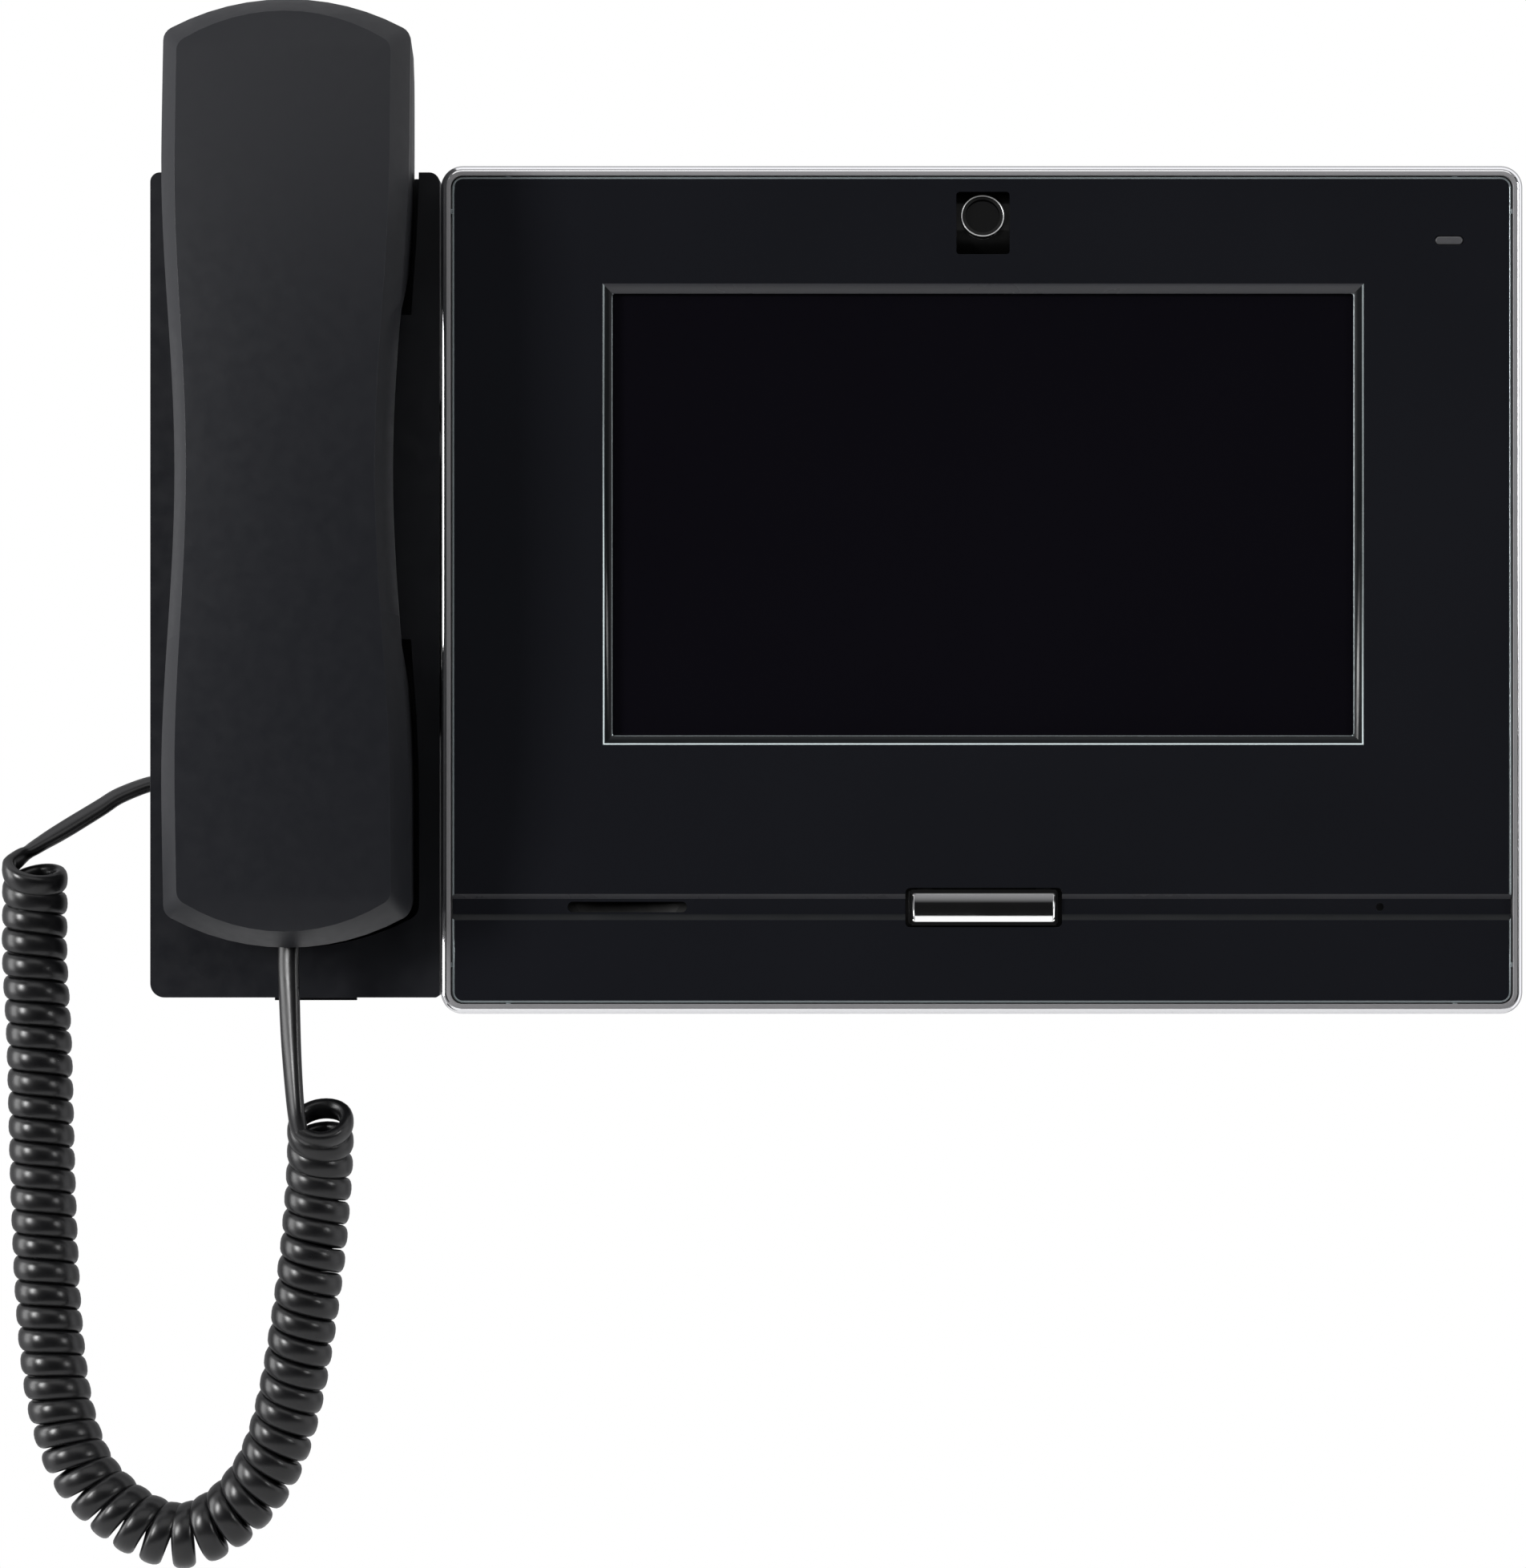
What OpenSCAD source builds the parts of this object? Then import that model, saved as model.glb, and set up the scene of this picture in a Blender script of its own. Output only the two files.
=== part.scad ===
// Wall-mounted video intercom monitor: a main unit with a touch screen, and a corded
// handset in a cradle on its left. Millimetres, +Z up, front towards -Y.
// The wall is the plane y = 0, and the origin is the centre of the wall plate's back.

/* [Main unit] */
// Width over the silver frame
unit_w = 225; // [223:0.5:228]
// Height over the silver frame
unit_h = 176.4; // [175:0.2:179]
// Distance from the wall to the face of the front panel
unit_d = 38; // [38:0.5:40]
// Radius of the silver frame's outer corners
unit_r = 4.5; // [3:0.5:6]
// Width of the silver frame, seen from the front
trim_w = 2.1; // [1.8:0.1:2.2]
// Thickness of the front panel
panel_t = 2.5; // [2.5:0.1:2.8]

/* [Screen] */
// Width of the opening in front of the screen
screen_w = 154.3; // [150:0.1:156]
// Height of the opening in front of the screen
screen_h = 92; // [88:0.5:94]
// Height of the screen's centre above the origin
screen_z = 15.7; // [14:0.1:17]
// Width of the bevel round the opening
screen_bevel = 1.8; // [1:0.1:2.2]

/* [Camera] */
// Height of the camera drum's axis above the origin
camera_z = 76.3; // [76:0.1:76.6]
// Radius of the camera drum
drum_r = 7.8; // [7.6:0.1:7.9]
// Width of the camera drum
drum_w = 13.6; // [13:0.1:13.8]
// Outer radius of the ring round the lens
lens_ring_r = 4.5; // [4.2:0.1:4.6]
// Upward tilt of the lens as it is stored
lens_tilt = 12; // [8:1:14]

/* [Talk button] */
// Width of the button's bar
button_w = 30.4; // [28:0.1:31]
// Height of the button's bar
button_h = 6.8; // [6:0.1:7]
// Height of the button's centre above the origin (negative is below)
button_z = -66.1; // [-66.4:0.1:-65.8]

/* [Groove, speaker slot and microphone hole] */
// Depth of the groove across the panel
groove_depth = 1; // [0.6:0.1:1.2]
// Width of the speaker slot
slot_w = 24.8; // [20:0.1:26]
// Height of the speaker slot
slot_h = 2.2; // [1.6:0.1:2.6]
// Radius of the microphone hole
mic_hole_r = 0.8; // [0.6:0.1:1]

/* [Cradle] */
// Distance from the wall to the cradle's front face
cradle_d = 28; // [27:0.5:29]
// Width of the cradle
cradle_w = 60.7; // [60:0.1:62]
// Height of the cradle's top edge above the origin
cradle_top = 87.9; // [87:0.1:89]
// Height of the cradle's bottom edge (negative is below the origin)
cradle_bottom = -85.2; // [-86:0.1:-85]

/* [Handset] */
// Width of the handset at its ends
handset_w = 51; // [50:0.5:52]
// Height of the handset's top above the origin
handset_top = 121.7; // [119:0.1:122]
// Height of the handset's bottom (negative is below the origin)
handset_bottom = -74.2; // [-75:0.1:-74]
// Distance from the wall to the handset's face at its ends
handset_d = 56; // [55:0.5:58]
// How much further the face stands out in the middle
handset_arch = 9; // [6:0.5:10]
// How far each side draws in at the waist
waist_in = 3.2; // [2:0.1:4]
// Thickness of the grip, from the face to the back
grip_t = 21; // [20:0.5:22]
// Distance from the wall to the backs of the ear and mouth cups
cup_y = 17; // [17:0.1:18]

/* [Cord] */
// Width of the flat cord
cord_w = 4.8; // [4.5:0.1:5]
// Thickness of the flat cord
cord_t = 2.4; // [2.2:0.1:2.6]
// Outer diameter of the curled part
curl_d = 13.6; // [13:0.1:14]

/* [Wall fixing] */
// Distance between the two columns of wall screws
hole_dx = 46; // [45:0.5:47]
// Distance between the two rows of wall screws
hole_dz = 83.5; // [82:0.5:85]
// Diameter of the holes for the wall screws
hole_d = 4.5; // [4:0.1:5]

/* [Hidden] */
$fn = 48;
wall = 2.2;          // thickness of the moulded walls
gap = 0.2;           // fitting gap between two pieces of one housing
through = 0.1;       // how far a cutter runs past the surface it opens
big = 400;           // longer than any part of the object
screw_r = 1.45;      // shank of an M3 screw
pilot_r = 1.5;       // hole that an M3 screw bites in
clear_r = 1.6;       // hole that an M3 screw passes
head_r = 2.7;        // head of an M3 screw
head_h = 1.8;

// Planes of the main unit, from the wall forward
cover_back = -0.3;
cover_floor = -2.6;
recess_floor = -1.6;
hollow_floor = -5.6;
joint_floor = -3.4;
cover_front = -26;
frame_back = -20;
board_back = -23;
board_front = -24.6;
bracket_back = -27.2;
tray_back = -28.4;
tray_front = -32.2;
lcd_front = -33.8;
glass_back = -33.9;
glass_front = -35;
panel_front = -unit_d;
panel_back = panel_front + panel_t;
shelf_back = panel_back + 2;
trim_front = panel_front - 0.6;

// Half sizes of the main unit's stacked outlines
frame_x = unit_w / 2;
frame_z = unit_h / 2;
frame_wall = 2.3;
panel_x = frame_x - trim_w - 0.3;
panel_z = frame_z - trim_w - 0.2;
cover_x = frame_x - frame_wall - gap;
cover_z = frame_z - frame_wall - gap;
plate_x = 50;
plate_z = 55;
window_x = 18;       // upper window of the wall plate
window_half_z = 12;
window_z = 22;
screen_x = 0.3;

// Places on the front panel
slot_x = -73.75;
groove_top = -63.3;
groove_bottom = -68.7;
groove_z = (groove_top + groove_bottom) / 2;
mic_x = 82.9;
led_x = 97.2;
led_z = 72.7;
led_w = 6;
led_h = 2;
button_x = 0.4;
button_gap = 1.1;
button_travel = 1;
guide_back = panel_back + 6;
stem_back = panel_back + 3.3;
camera_x = 0.25;
camera_y = -28.6;
camera_window_w = 11.1;
camera_window_h = 13;
camera_recess = 1.25;  // depth of the hollow behind the camera's window
flat_d = 7.3;          // distance of the drum's flat from its axis
yoke_back = -15.6;

// Half sizes of the touch glass
glass_x = 82;
glass_z = 52;

// Screws of the main unit: rear cover, board, screen bracket
case_x = 101;
case_z = 79.2;
post_x0 = 97;        // inner face of the frame's posts
lug_x = 98;
board_x = 85;
board_z0 = -40;
board_z1 = 60;
post_x = 78;
lug_z = [62, -30];

// Cable well behind the board, and the sockets in it
well_x = 24;
well_z0 = -52;
well_z1 = -8;
lan_x = 8;
lan_z0 = -36;

// Speaker behind the slot
speaker_z = -60.5;
speaker_r = 18;

// Cradle
cradle_x1 = -frame_x - 0.8;
cradle_x0 = cradle_x1 - cradle_w;
cradle_front = -cradle_d;
cradle_back_y = -0.3;
pocket_floor = -14.5;
pocket_wall = 2;
hook_z = 76;
hook_board_y = -5;
jack_y = -7.25;
jack_z = -40.5;
close_at = [[-166.5, 62], [-120.7, 62], [-166.5, -66], [-120.7, -66]];  // closing screws
pin_at = [[-154, 44], [-134, 44]];          // pins that carry the hook's board
bracket_x = [-130, -88];                    // screws of the bracket to the main unit
bracket_z = [-20, 20];

// Handset
handset_x = cradle_x0 + cradle_w / 2;
handset_mid = (handset_top + handset_bottom) / 2;
handset_half = (handset_top - handset_bottom) / 2;
end_r = 50;          // radius of the handset's curved ends
handset_corner = 3;  // radius of its four corners
waist_span = 68;     // how far the waist reaches above and below the middle
face_bevel = 3.55;   // width of the bevel round the face
face_drop = 8;       // depth of that bevel
seam_drop = 10;      // the seam between the two shells, behind the face
ear_z = 91.5;
mouth_z = -50;
screw_z = [44, 2];
cord_y = -41.05;

// Modular plug and socket
plug_w = 7.7;
plug_t = 6.5;
plug_l = 11.7;
socket_w = 9.3;
socket_t = 8.6;
socket_l = 16;

// Route of the curled part's middle, from the cradle side round to the handset side
curl_route = [
    [-200, -13, -59], [-200, -13.5, -78], [-199, -14, -96], [-198, -15, -128],
    [-196.5, -16.5, -154], [-194, -18, -172], [-189.5, -20, -184.5], [-183, -21.5, -192],
    [-175, -23, -197], [-167, -24, -198.5], [-159, -25.5, -195], [-152, -27, -188],
    [-147.5, -28.5, -179.5], [-144.5, -30, -169], [-142, -32, -156], [-139.5, -34, -138],
    [-138, -34.5, -122], [-137.5, -37.8, -111]
];
// Route of the straight part that comes out of the cradle
base_route = [
    [-170.65, jack_y, jack_z], [-175, -7.3, -40.7], [-181, -7.8, -42.5], [-188, -9, -46.5],
    [-195, -10.5, -51], [-201, -12, -55.5], [-204.5, -13, -60]
];
// Route of the straight part that comes out of the handset
handset_route = [
    [handset_x, cord_y, -70.25], [handset_x, -41.3, -78], [-143.5, -41.3, -87],
    [-143.3, -41.5, -96], [-142.6, -41.7, -104], [-140.9, -41.3, -114]
];

// ---------------------------------------------------------------- shared shapes

// A shape drawn in x and z, made a slab of thickness t from plane y towards the front
module slab(y, t) {
    translate([0, y, 0])
        rotate([90, 0, 0])
            linear_extrude(t)
                children();
}

// A shape drawn in y and z, drawn out along x
module along_x(x, w) {
    translate([x, 0, 0])
        rotate([90, 0, 90])
            linear_extrude(w)
                children();
}

// A box between two corners
module block(a, b) {
    translate(a)
        cube(b - a);
}

// A round bar from plane y towards the front
module bar_y(x, y, z, r, len, r2 = -1) {
    translate([x, y, z])
        rotate([90, 0, 0])
            cylinder(r1 = r, r2 = r2 < 0 ? r : r2, h = len);
}

// A round bar along x
module bar_x(x, y, z, r, len) {
    translate([x, y, z])
        rotate([0, 90, 0])
            cylinder(r = r, h = len);
}

// What rounding one corner takes away; sx and sz point out of the corner
module corner_waste(x, z, sx, sz, r) {
    translate([x - sx * r, z - sz * r])
        difference() {
            polygon([[0, 0], [sx * (r + 1), 0], [sx * (r + 1), sz * (r + 1)], [0, sz * (r + 1)]]);
            circle(r = r);
        }
}

// A rectangle with a radius for each corner: bottom left, bottom right, top right, top left
module rounded(x0, x1, z0, z1, r) {
    difference() {
        translate([x0, z0])
            square([x1 - x0, z1 - z0]);
        corner_waste(x0, z0, -1, -1, r[0]);
        corner_waste(x1, z0, 1, -1, r[1]);
        corner_waste(x1, z1, 1, 1, r[2]);
        corner_waste(x0, z1, -1, 1, r[3]);
    }
}

// The same about a centre, with one radius
module centred(x, z, half_x, half_z, r) {
    rounded(x - half_x, x + half_x, z - half_z, z + half_z, [r, r, r, r]);
}

// An M3 screw whose head bears on plane y; dir 1 runs its shank forward, -1 backward
module screw(x, y, z, len, dir) {
    bar_y(x, dir > 0 ? y : y + len, z, screw_r, len);
    bar_y(x, dir > 0 ? y + head_h : y, z, head_r, head_h);
}

// A closed solid through rings of points, each ring starting at the top and going round
// by the right-hand side; the rings' two ends are closed with strips from side to side
module ring_solid(rings) {
    n = len(rings[0]);
    m = len(rings);
    half = n / 2;
    sides = [
        for (i = [0 : m - 2], k = [0 : n - 1])
            let (a = i * n + k, b = i * n + (k + 1) % n)
                each [[a, b, b + n], [a, b + n, a + n]]
    ];
    last = (m - 1) * n;
    near_cap = [
        for (k = [0 : half - 1])
            each (k == 0 ? [[0, n - 1, 1]]
                : k == half - 1 ? [[k, half + 1, half]]
                : [[k, n - k, n - k - 1], [k, n - k - 1, k + 1]])
    ];
    far_cap = [for (f = near_cap) [last + f[0], last + f[2], last + f[1]]];
    polyhedron(
        points = [for (r = rings) each r],
        faces = concat(sides, near_cap, far_cap)
    );
}

// --------------------------------------------------------- outlines and routes

// How far the handset's side draws in at height z
function waist(z) =
    abs(z - handset_mid) < waist_span
        ? waist_in * (1 + cos(180 * (z - handset_mid) / waist_span)) / 2
        : 0;

// The handset's face, its seam and its back, at height z
function arch(z) = handset_arch * (1 - pow((z - handset_mid) / (handset_half - 6), 2));
function face_y(z) = -handset_d - arch(z);
function seam_y(z) = face_y(z) + seam_drop;
function ramp(a, b, z) =
    let (t = min(1, max(0, (z - a) / (b - a))))
        t * t * (3 - 2 * t);
function end_turn(z) = 14 * pow(max(0, z - 104) / 16.5, 2) + 7 * pow(max(0, -58 - z) / 16, 2);
function back_y(z) =
    let (cup = max(ramp(52, 72, z), ramp(-6, -26, z)))
        (face_y(z) + grip_t) * (1 - cup) - cup * cup_y - end_turn(z);

// Right-hand half of the handset's outline from top to bottom, about its own middle
half_outline = let (
        w = handset_w / 2,
        a = asin((w - handset_corner) / (end_r - handset_corner)),
        down = end_r - sqrt(pow(end_r - handset_corner, 2) - pow(w - handset_corner, 2)),
        side = handset_half - down,
        arc = [for (i = [0 : 5]) a * i / 6],
        turn = [for (i = [0 : 4]) a + (90 - a) * i / 4],
        top = concat(
            [for (t = arc) [end_r * sin(t), handset_half - end_r + end_r * cos(t)]],
            [for (t = turn) [w - handset_corner + handset_corner * sin(t),
                side + handset_corner * cos(t)]]
        ),
        n = len(top)
    )
    concat(
        top,
        [for (i = [1 : 35]) let (z = side - 2 * side * i / 36) [w - waist(z + handset_mid), z]],
        [for (i = [n - 1 : -1 : 0]) [top[i][0], -top[i][1]]]
    );

// The whole outline drawn in by a distance
function outline(inset) =
    let (
        kx = 1 - 2 * inset / handset_w,
        kz = 1 - inset / handset_half,
        n = len(half_outline)
    )
    concat(
        [for (p = half_outline) [p[0] * kx, p[1] * kz]],
        [for (i = [n - 2 : -1 : 1]) [-half_outline[i][0] * kx, half_outline[i][1] * kz]]
    );

// A smooth curve through the points p, with n steps between each two
function at(p, i) = p[min(len(p) - 1, max(0, i))];
function curve(p, n) = concat(
    [
        for (i = [0 : len(p) - 2], k = [0 : n - 1])
            let (t = k / n, a = at(p, i - 1), b = p[i], c = p[i + 1], d = at(p, i + 2))
                0.5 * (2 * b + (c - a) * t + (2 * a - 5 * b + 4 * c - d) * t * t
                    + (3 * b - 3 * c + d - a) * t * t * t)
    ],
    [p[len(p) - 1]]
);

function unit(v) = v / norm(v);
function heading(p, i) = unit(at(p, i + 1) - at(p, i - 1));

// A tube along the points p; its section is w wide across the direction flat, and t thick
module tube(p, w, t, flat, sides) {
    n = len(p);
    points = [
        for (i = [0 : n - 1])
            let (
                h = heading(p, i),
                u = unit(flat - h * (flat * h)),
                v = cross(h, u)
            )
            each [for (k = [0 : sides - 1])
                let (a = 360 * (k + 0.5) / sides)
                    p[i] + u * (w / 2 * cos(a)) + v * (t / 2 * sin(a))]
    ];
    polyhedron(
        points = points,
        faces = concat(
            [
                for (i = [0 : n - 2], k = [0 : sides - 1])
                    let (a = i * sides + k, b = i * sides + (k + 1) % sides)
                        each [[a, b + sides, b], [a, a + sides, b + sides]]
            ],
            [[for (k = [0 : sides - 1]) k]],
            [[for (k = [sides - 1 : -1 : 0]) (n - 1) * sides + k]]
        )
    );
}

// ---------------------------------------------------------------- wall plate

// Pressed steel plate: four wall screws, two cable windows, four hooks for the main unit
module wall_plate() {
    t = 1.2;
    hook_w = 8;
    hook_out = 4.4;
    color("silver") {
        difference() {
            slab(0, t)
                centred(0, 0, plate_x, plate_z, 3);
            for (sx = [-1, 1], sz = [-1, 1])
                bar_y(sx * hole_dx / 2, through, sz * hole_dz / 2, hole_d / 2, t + 2 * through);
            slab(through, t + 2 * through)
                centred(0, -31, 18, 21, 2);
            slab(through, t + 2 * through)
                centred(0, window_z, window_x, window_half_z, 2);
        }
        for (x = [-40, 40], z = [-34, 38]) {
            block([x - hook_w / 2, -t - hook_out, z - t], [x + hook_w / 2, -t + through, z]);
            block([x - hook_w / 2, -t - hook_out, z - t], [x + hook_w / 2, -hook_out, z + 4]);
        }
    }
}

// ---------------------------------------------------------------- main housing

// Moulded back of the main unit, with its posts, vents and cable well
module rear_cover() {
    color("dimgray")
        difference() {
            union() {
                difference() {
                    slab(cover_back, cover_back - cover_front)
                        centred(0, 0, cover_x, cover_z, 3);
                    slab(cover_floor, big)
                        centred(0, 0, cover_x - wall, cover_z - wall, 1.5);
                }
                slab(recess_floor, recess_floor - cover_floor + 1.3)
                    centred(0, 0, plate_x + 4, plate_z + 4, 4);
                slab(recess_floor, recess_floor - hollow_floor + 1.4)
                    centred(0, window_z, window_x + 1.8, window_half_z + 1.8, 2);
                for (x = [-case_x, case_x], z = [-case_z, 0, case_z])
                    bar_y(x, cover_floor + through, z, 4.6, cover_floor - cover_front + through);
                for (sx = [-1, 1])
                    bar_y(camera_x + sx * 5, cover_floor + through, camera_z - 2, 3,
                        cover_floor + through - yoke_back);
                for (x = [-post_x, post_x], z = [board_z0 + 6, board_z1 - 6])
                    bar_y(x, cover_floor + through, z, 4, cover_floor - board_back + through);
                for (z = bracket_z)
                    bar_y(bracket_x[1], cover_floor + through, z, 4, 9);
                block([-cover_x + 1, joint_floor - 2, -33], [-72, cover_floor + through, 33]);
                slab(cover_floor + through, cover_floor - board_back)
                    centred(0, (well_z0 + well_z1) / 2, well_x + wall,
                        (well_z1 - well_z0) / 2 + wall, 2);
            }
            slab(through, -recess_floor + through)
                centred(0, 0, plate_x + 2, plate_z + 2, 3);
            for (x = [-case_x, case_x], z = [-case_z, 0, case_z]) {
                bar_y(x, through, z, 3.1, 18.4 + through);
                bar_y(x, 0, z, clear_r, 40);
            }
            for (x = [-post_x, post_x], z = [board_z0 + 6, board_z1 - 6])
                bar_y(x, board_back + 8, z, pilot_r, 12);
            for (z = bracket_z)
                bar_y(bracket_x[1], 0, z, pilot_r, 11);
            // cable well: open to the wall, its lower part closed towards the front
            slab(through, -board_back - 1.5 + through)
                centred(0, (well_z0 + well_z1) / 2, well_x, (well_z1 - well_z0) / 2, 1);
            // hollow for spare cable behind the wall plate's upper window
            slab(through, -hollow_floor + through)
                centred(0, window_z, window_x, window_half_z, 1);
            block([-well_x, board_back - 1, board_z0 + 0.5], [well_x, board_back + 3, well_z1]);
            // slots that the wall plate's hooks pass through
            for (x = [-40, 40], z = [-34, 38])
                block([x - 5, -5, z - 3], [x + 5, through, z + 6]);
            // vents in the top and bottom walls
            for (x = [-72 : 8 : 72], sz = [-1, 1])
                translate([x, -12.5, sz * cover_z])
                    cube([2.4, 11, 8], center = true);
            // way through for the cable from the cradle
            block([-cover_x - 1, -10, 32], [-cover_x + wall + 1, -6.6, 44]);
            // recess for the bracket that joins the cradle
            block([-cover_x - 1, joint_floor, -31], [-74, through, 31]);
            // room for the camera under the top wall
            block([camera_x - 12, cover_front - 1, 80], [camera_x + 12, -14, camera_z + 8.3]);
        }
}

// Silver frame round the front, with the shelf that the panel is bonded to
module bezel_frame() {
    color("gainsboro")
        difference() {
            union() {
                difference() {
                    union() {
                        slab(frame_back, frame_back - trim_front - 0.6)
                            centred(0, 0, frame_x, frame_z, unit_r);
                        slab(trim_front + 1, 1)
                            centred(0, 0, frame_x - 0.4, frame_z - 0.4, unit_r - 0.4);
                    }
                    slab(panel_back, big)
                        centred(0, 0, panel_x + 0.45, panel_z + 0.45, 2.6);
                    slab(frame_back + 1, big)
                        centred(0, 0, 105.5, 81, 2);
                    slab(frame_back + 1, frame_back + 1 - shelf_back)
                        centred(0, 0, cover_x + gap, cover_z + gap, 3.2);
                }
                for (sx = [-1, 1], z = [-case_z, 0, case_z])
                    slab(cover_front - gap, cover_front - gap - shelf_back + through)
                        centred(sx * (post_x0 + cover_x + 0.5) / 2, z, (cover_x + 0.5 - post_x0) / 2, 5, 1);
                for (sx = [-1, 1], z = lug_z)
                    slab(bracket_back - 1.1, bracket_back - 1.1 - panel_back)
                        centred(sx * (92 + cover_x + 0.5) / 2, z, (cover_x + 0.5 - 92) / 2, 4.5, 1);
            }
            for (sx = [-1, 1], z = [-case_z, 0, case_z])
                bar_y(sx * case_x, cover_front, z, pilot_r, 6.5);
            for (sx = [-1, 1], z = lug_z)
                bar_y(sx * lug_x, bracket_back, z, pilot_r, 7);
            // room for the camera
            block([camera_x - 9.5, panel_back - 1, camera_z], [camera_x + 9.5, shelf_back + 2, camera_z + 8.5]);
        }
}

// Eight small lugs centre the panel in the frame; they are part of the panel
module panel_lugs() {
    for (sx = [-1, 1], z = [-78, 78.8])
        translate([sx * (panel_x + 0.15), panel_front + 1.2, z])
            cube([0.4, 0.8, 1], center = true);
    for (x = [-98.5, 98.5], sz = [-1, 1])
        translate([x, panel_front + 1.2, sz * (panel_z + 0.15)])
            cube([1, 0.8, 0.4], center = true);
}

// Black acrylic front with every opening in it
module front_panel() {
    run = screen_bevel;
    deep = 1.6;
    color("#101114")
        difference() {
            union() {
                slab(panel_back, panel_t)
                    centred(0, 0, panel_x, panel_z, 2.2);
                panel_lugs();
            }
            slab(panel_back + 1, panel_t + 2)
                centred(screen_x, screen_z, screen_w / 2, screen_h / 2, 0.5);
            // the bevel is the meeting of two wedges, one across and one upright
            intersection() {
                translate([0, 0, screen_z - big / 2])
                    linear_extrude(big)
                        polygon([
                            [screen_x - screen_w / 2, panel_front + deep],
                            [screen_x + screen_w / 2, panel_front + deep],
                            [screen_x + screen_w / 2 + run, panel_front],
                            [screen_x + screen_w / 2 + run, panel_front - 1],
                            [screen_x - screen_w / 2 - run, panel_front - 1],
                            [screen_x - screen_w / 2 - run, panel_front]
                        ]);
                along_x(screen_x - big / 2, big)
                    polygon([
                        [panel_front + deep, screen_z - screen_h / 2],
                        [panel_front + deep, screen_z + screen_h / 2],
                        [panel_front, screen_z + screen_h / 2 + run],
                        [panel_front - 1, screen_z + screen_h / 2 + run],
                        [panel_front - 1, screen_z - screen_h / 2 - run],
                        [panel_front, screen_z - screen_h / 2 - run]
                    ]);
            }
            slab(panel_back + 1, panel_t + 2)
                centred(camera_x, camera_z, camera_window_w / 2, camera_window_h / 2, 0.7);
            slab(panel_back + 1, 1 + camera_recess)
                centred(camera_x, camera_z, drum_w / 2 + 0.6, drum_r, 0.5);
            slab(panel_back + 1, panel_t + 2)
                centred(button_x, button_z, button_w / 2 + button_gap, button_h / 2 + 0.7, 1);
            along_x(-big / 2, big)
                polygon([
                    [panel_front - 1, groove_top + 1], [panel_front, groove_top],
                    [panel_front + groove_depth, groove_top - 1],
                    [panel_front + groove_depth, groove_bottom + 1.2],
                    [panel_front, groove_bottom], [panel_front - 1, groove_bottom - 1]
                ]);
            slab(panel_back + 1, panel_t + 2)
                centred(slot_x, groove_z, slot_w / 2, slot_h / 2, slot_h / 2 - 0.05);
            bar_y(mic_x, panel_back + 1, groove_z, mic_hole_r, panel_t + 2);
            slab(panel_back + 1, panel_t + 2)
                centred(led_x, led_z, led_w / 2, led_h / 2, led_h / 2 - 0.05);
        }
}

// ---------------------------------------------------------------- screen stack

// Foam strip between the panel and the touch glass
module screen_gasket() {
    color("#26262a")
        difference() {
            slab(glass_front, glass_front - panel_back)
                centred(screen_x, screen_z, glass_x, glass_z, 1);
            slab(glass_front + 1, 3)
                centred(screen_x, screen_z, screen_w / 2 + 1, screen_h / 2 + 1, 1);
        }
}

module touch_glass() {
    color([0.05, 0.05, 0.06, 0.6])
        slab(glass_back, glass_back - glass_front)
            centred(screen_x, screen_z, glass_x, glass_z, 1);
}

module lcd_panel() {
    color("#0b0b0e")
        slab(tray_front, tray_front - lcd_front)
            centred(screen_x, screen_z, glass_x, glass_z - 0.5, 0.5);
}

// Pressed tray with the light guide and its lamps
module backlight_tray() {
    color("lightgray")
        slab(tray_back, tray_back - tray_front)
            centred(screen_x, screen_z, glass_x + 0.5, glass_z, 0.5);
}

// Folded steel bracket that holds the screen against the panel
module screen_bracket() {
    t = 1;
    x = glass_x + 0.9;
    z = glass_z + 0.4;
    color("silver")
        difference() {
            union() {
                slab(bracket_back, t)
                    centred(screen_x, screen_z, x + t, z + t, 1);
                for (sx = [-1, 1])
                    translate([screen_x + sx * (x + t / 2), bracket_back - 2.5, screen_z])
                        cube([t, 5, 80], center = true);
                for (sz = [-1, 1])
                    translate([screen_x, bracket_back - 2.2, screen_z + sz * (z + t / 2)])
                        cube([60, 4.4, t], center = true);
                for (sx = [-1, 1], ez = lug_z)
                    slab(bracket_back, t)
                        centred(sx * 93, ez, 10, 4.5, 1);
            }
            for (sx = [-1, 1], ez = lug_z)
                bar_y(sx * lug_x, bracket_back + 1, ez, clear_r, 4);
            slab(bracket_back + 1, t + 2)
                centred(screen_x, screen_z + 6, 50, 26, 4);
            // room for the camera
            block([camera_x - 12, bracket_back - 6, 66], [camera_x + 12, bracket_back + 1, 70]);
        }
}

// Flat flexible cable from the screen's lower edge to the board
module lcd_ribbon() {
    t = 0.3;
    low = screen_z - glass_z - 2.8;
    color("#b5722c") {
        block([46, -33.2, low], [62, -33.2 + t, screen_z - glass_z]);
        block([46, -33.2, low - t], [62, -26.2, low + 0.01]);
        block([46, -26.5, low - t], [62, -26.2, -28]);
        block([46, -26.3, -31], [62, board_front, -28]);
    }
}

// ---------------------------------------------------------------- electronics

module main_board() {
    color("#1f5a36")
        difference() {
            slab(board_back, board_back - board_front)
                centred(0, (board_z0 + board_z1) / 2, board_x, (board_z1 - board_z0) / 2, 1);
            for (x = [-post_x, post_x], z = [board_z0 + 6, board_z1 - 6])
                bar_y(x, board_back + 1, z, clear_r, 4);
        }
}

module processor_shield() {
    color("silver")
        slab(board_back + 3, 3)
            centred(-48, 34, 17, 14, 1);
}

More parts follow.
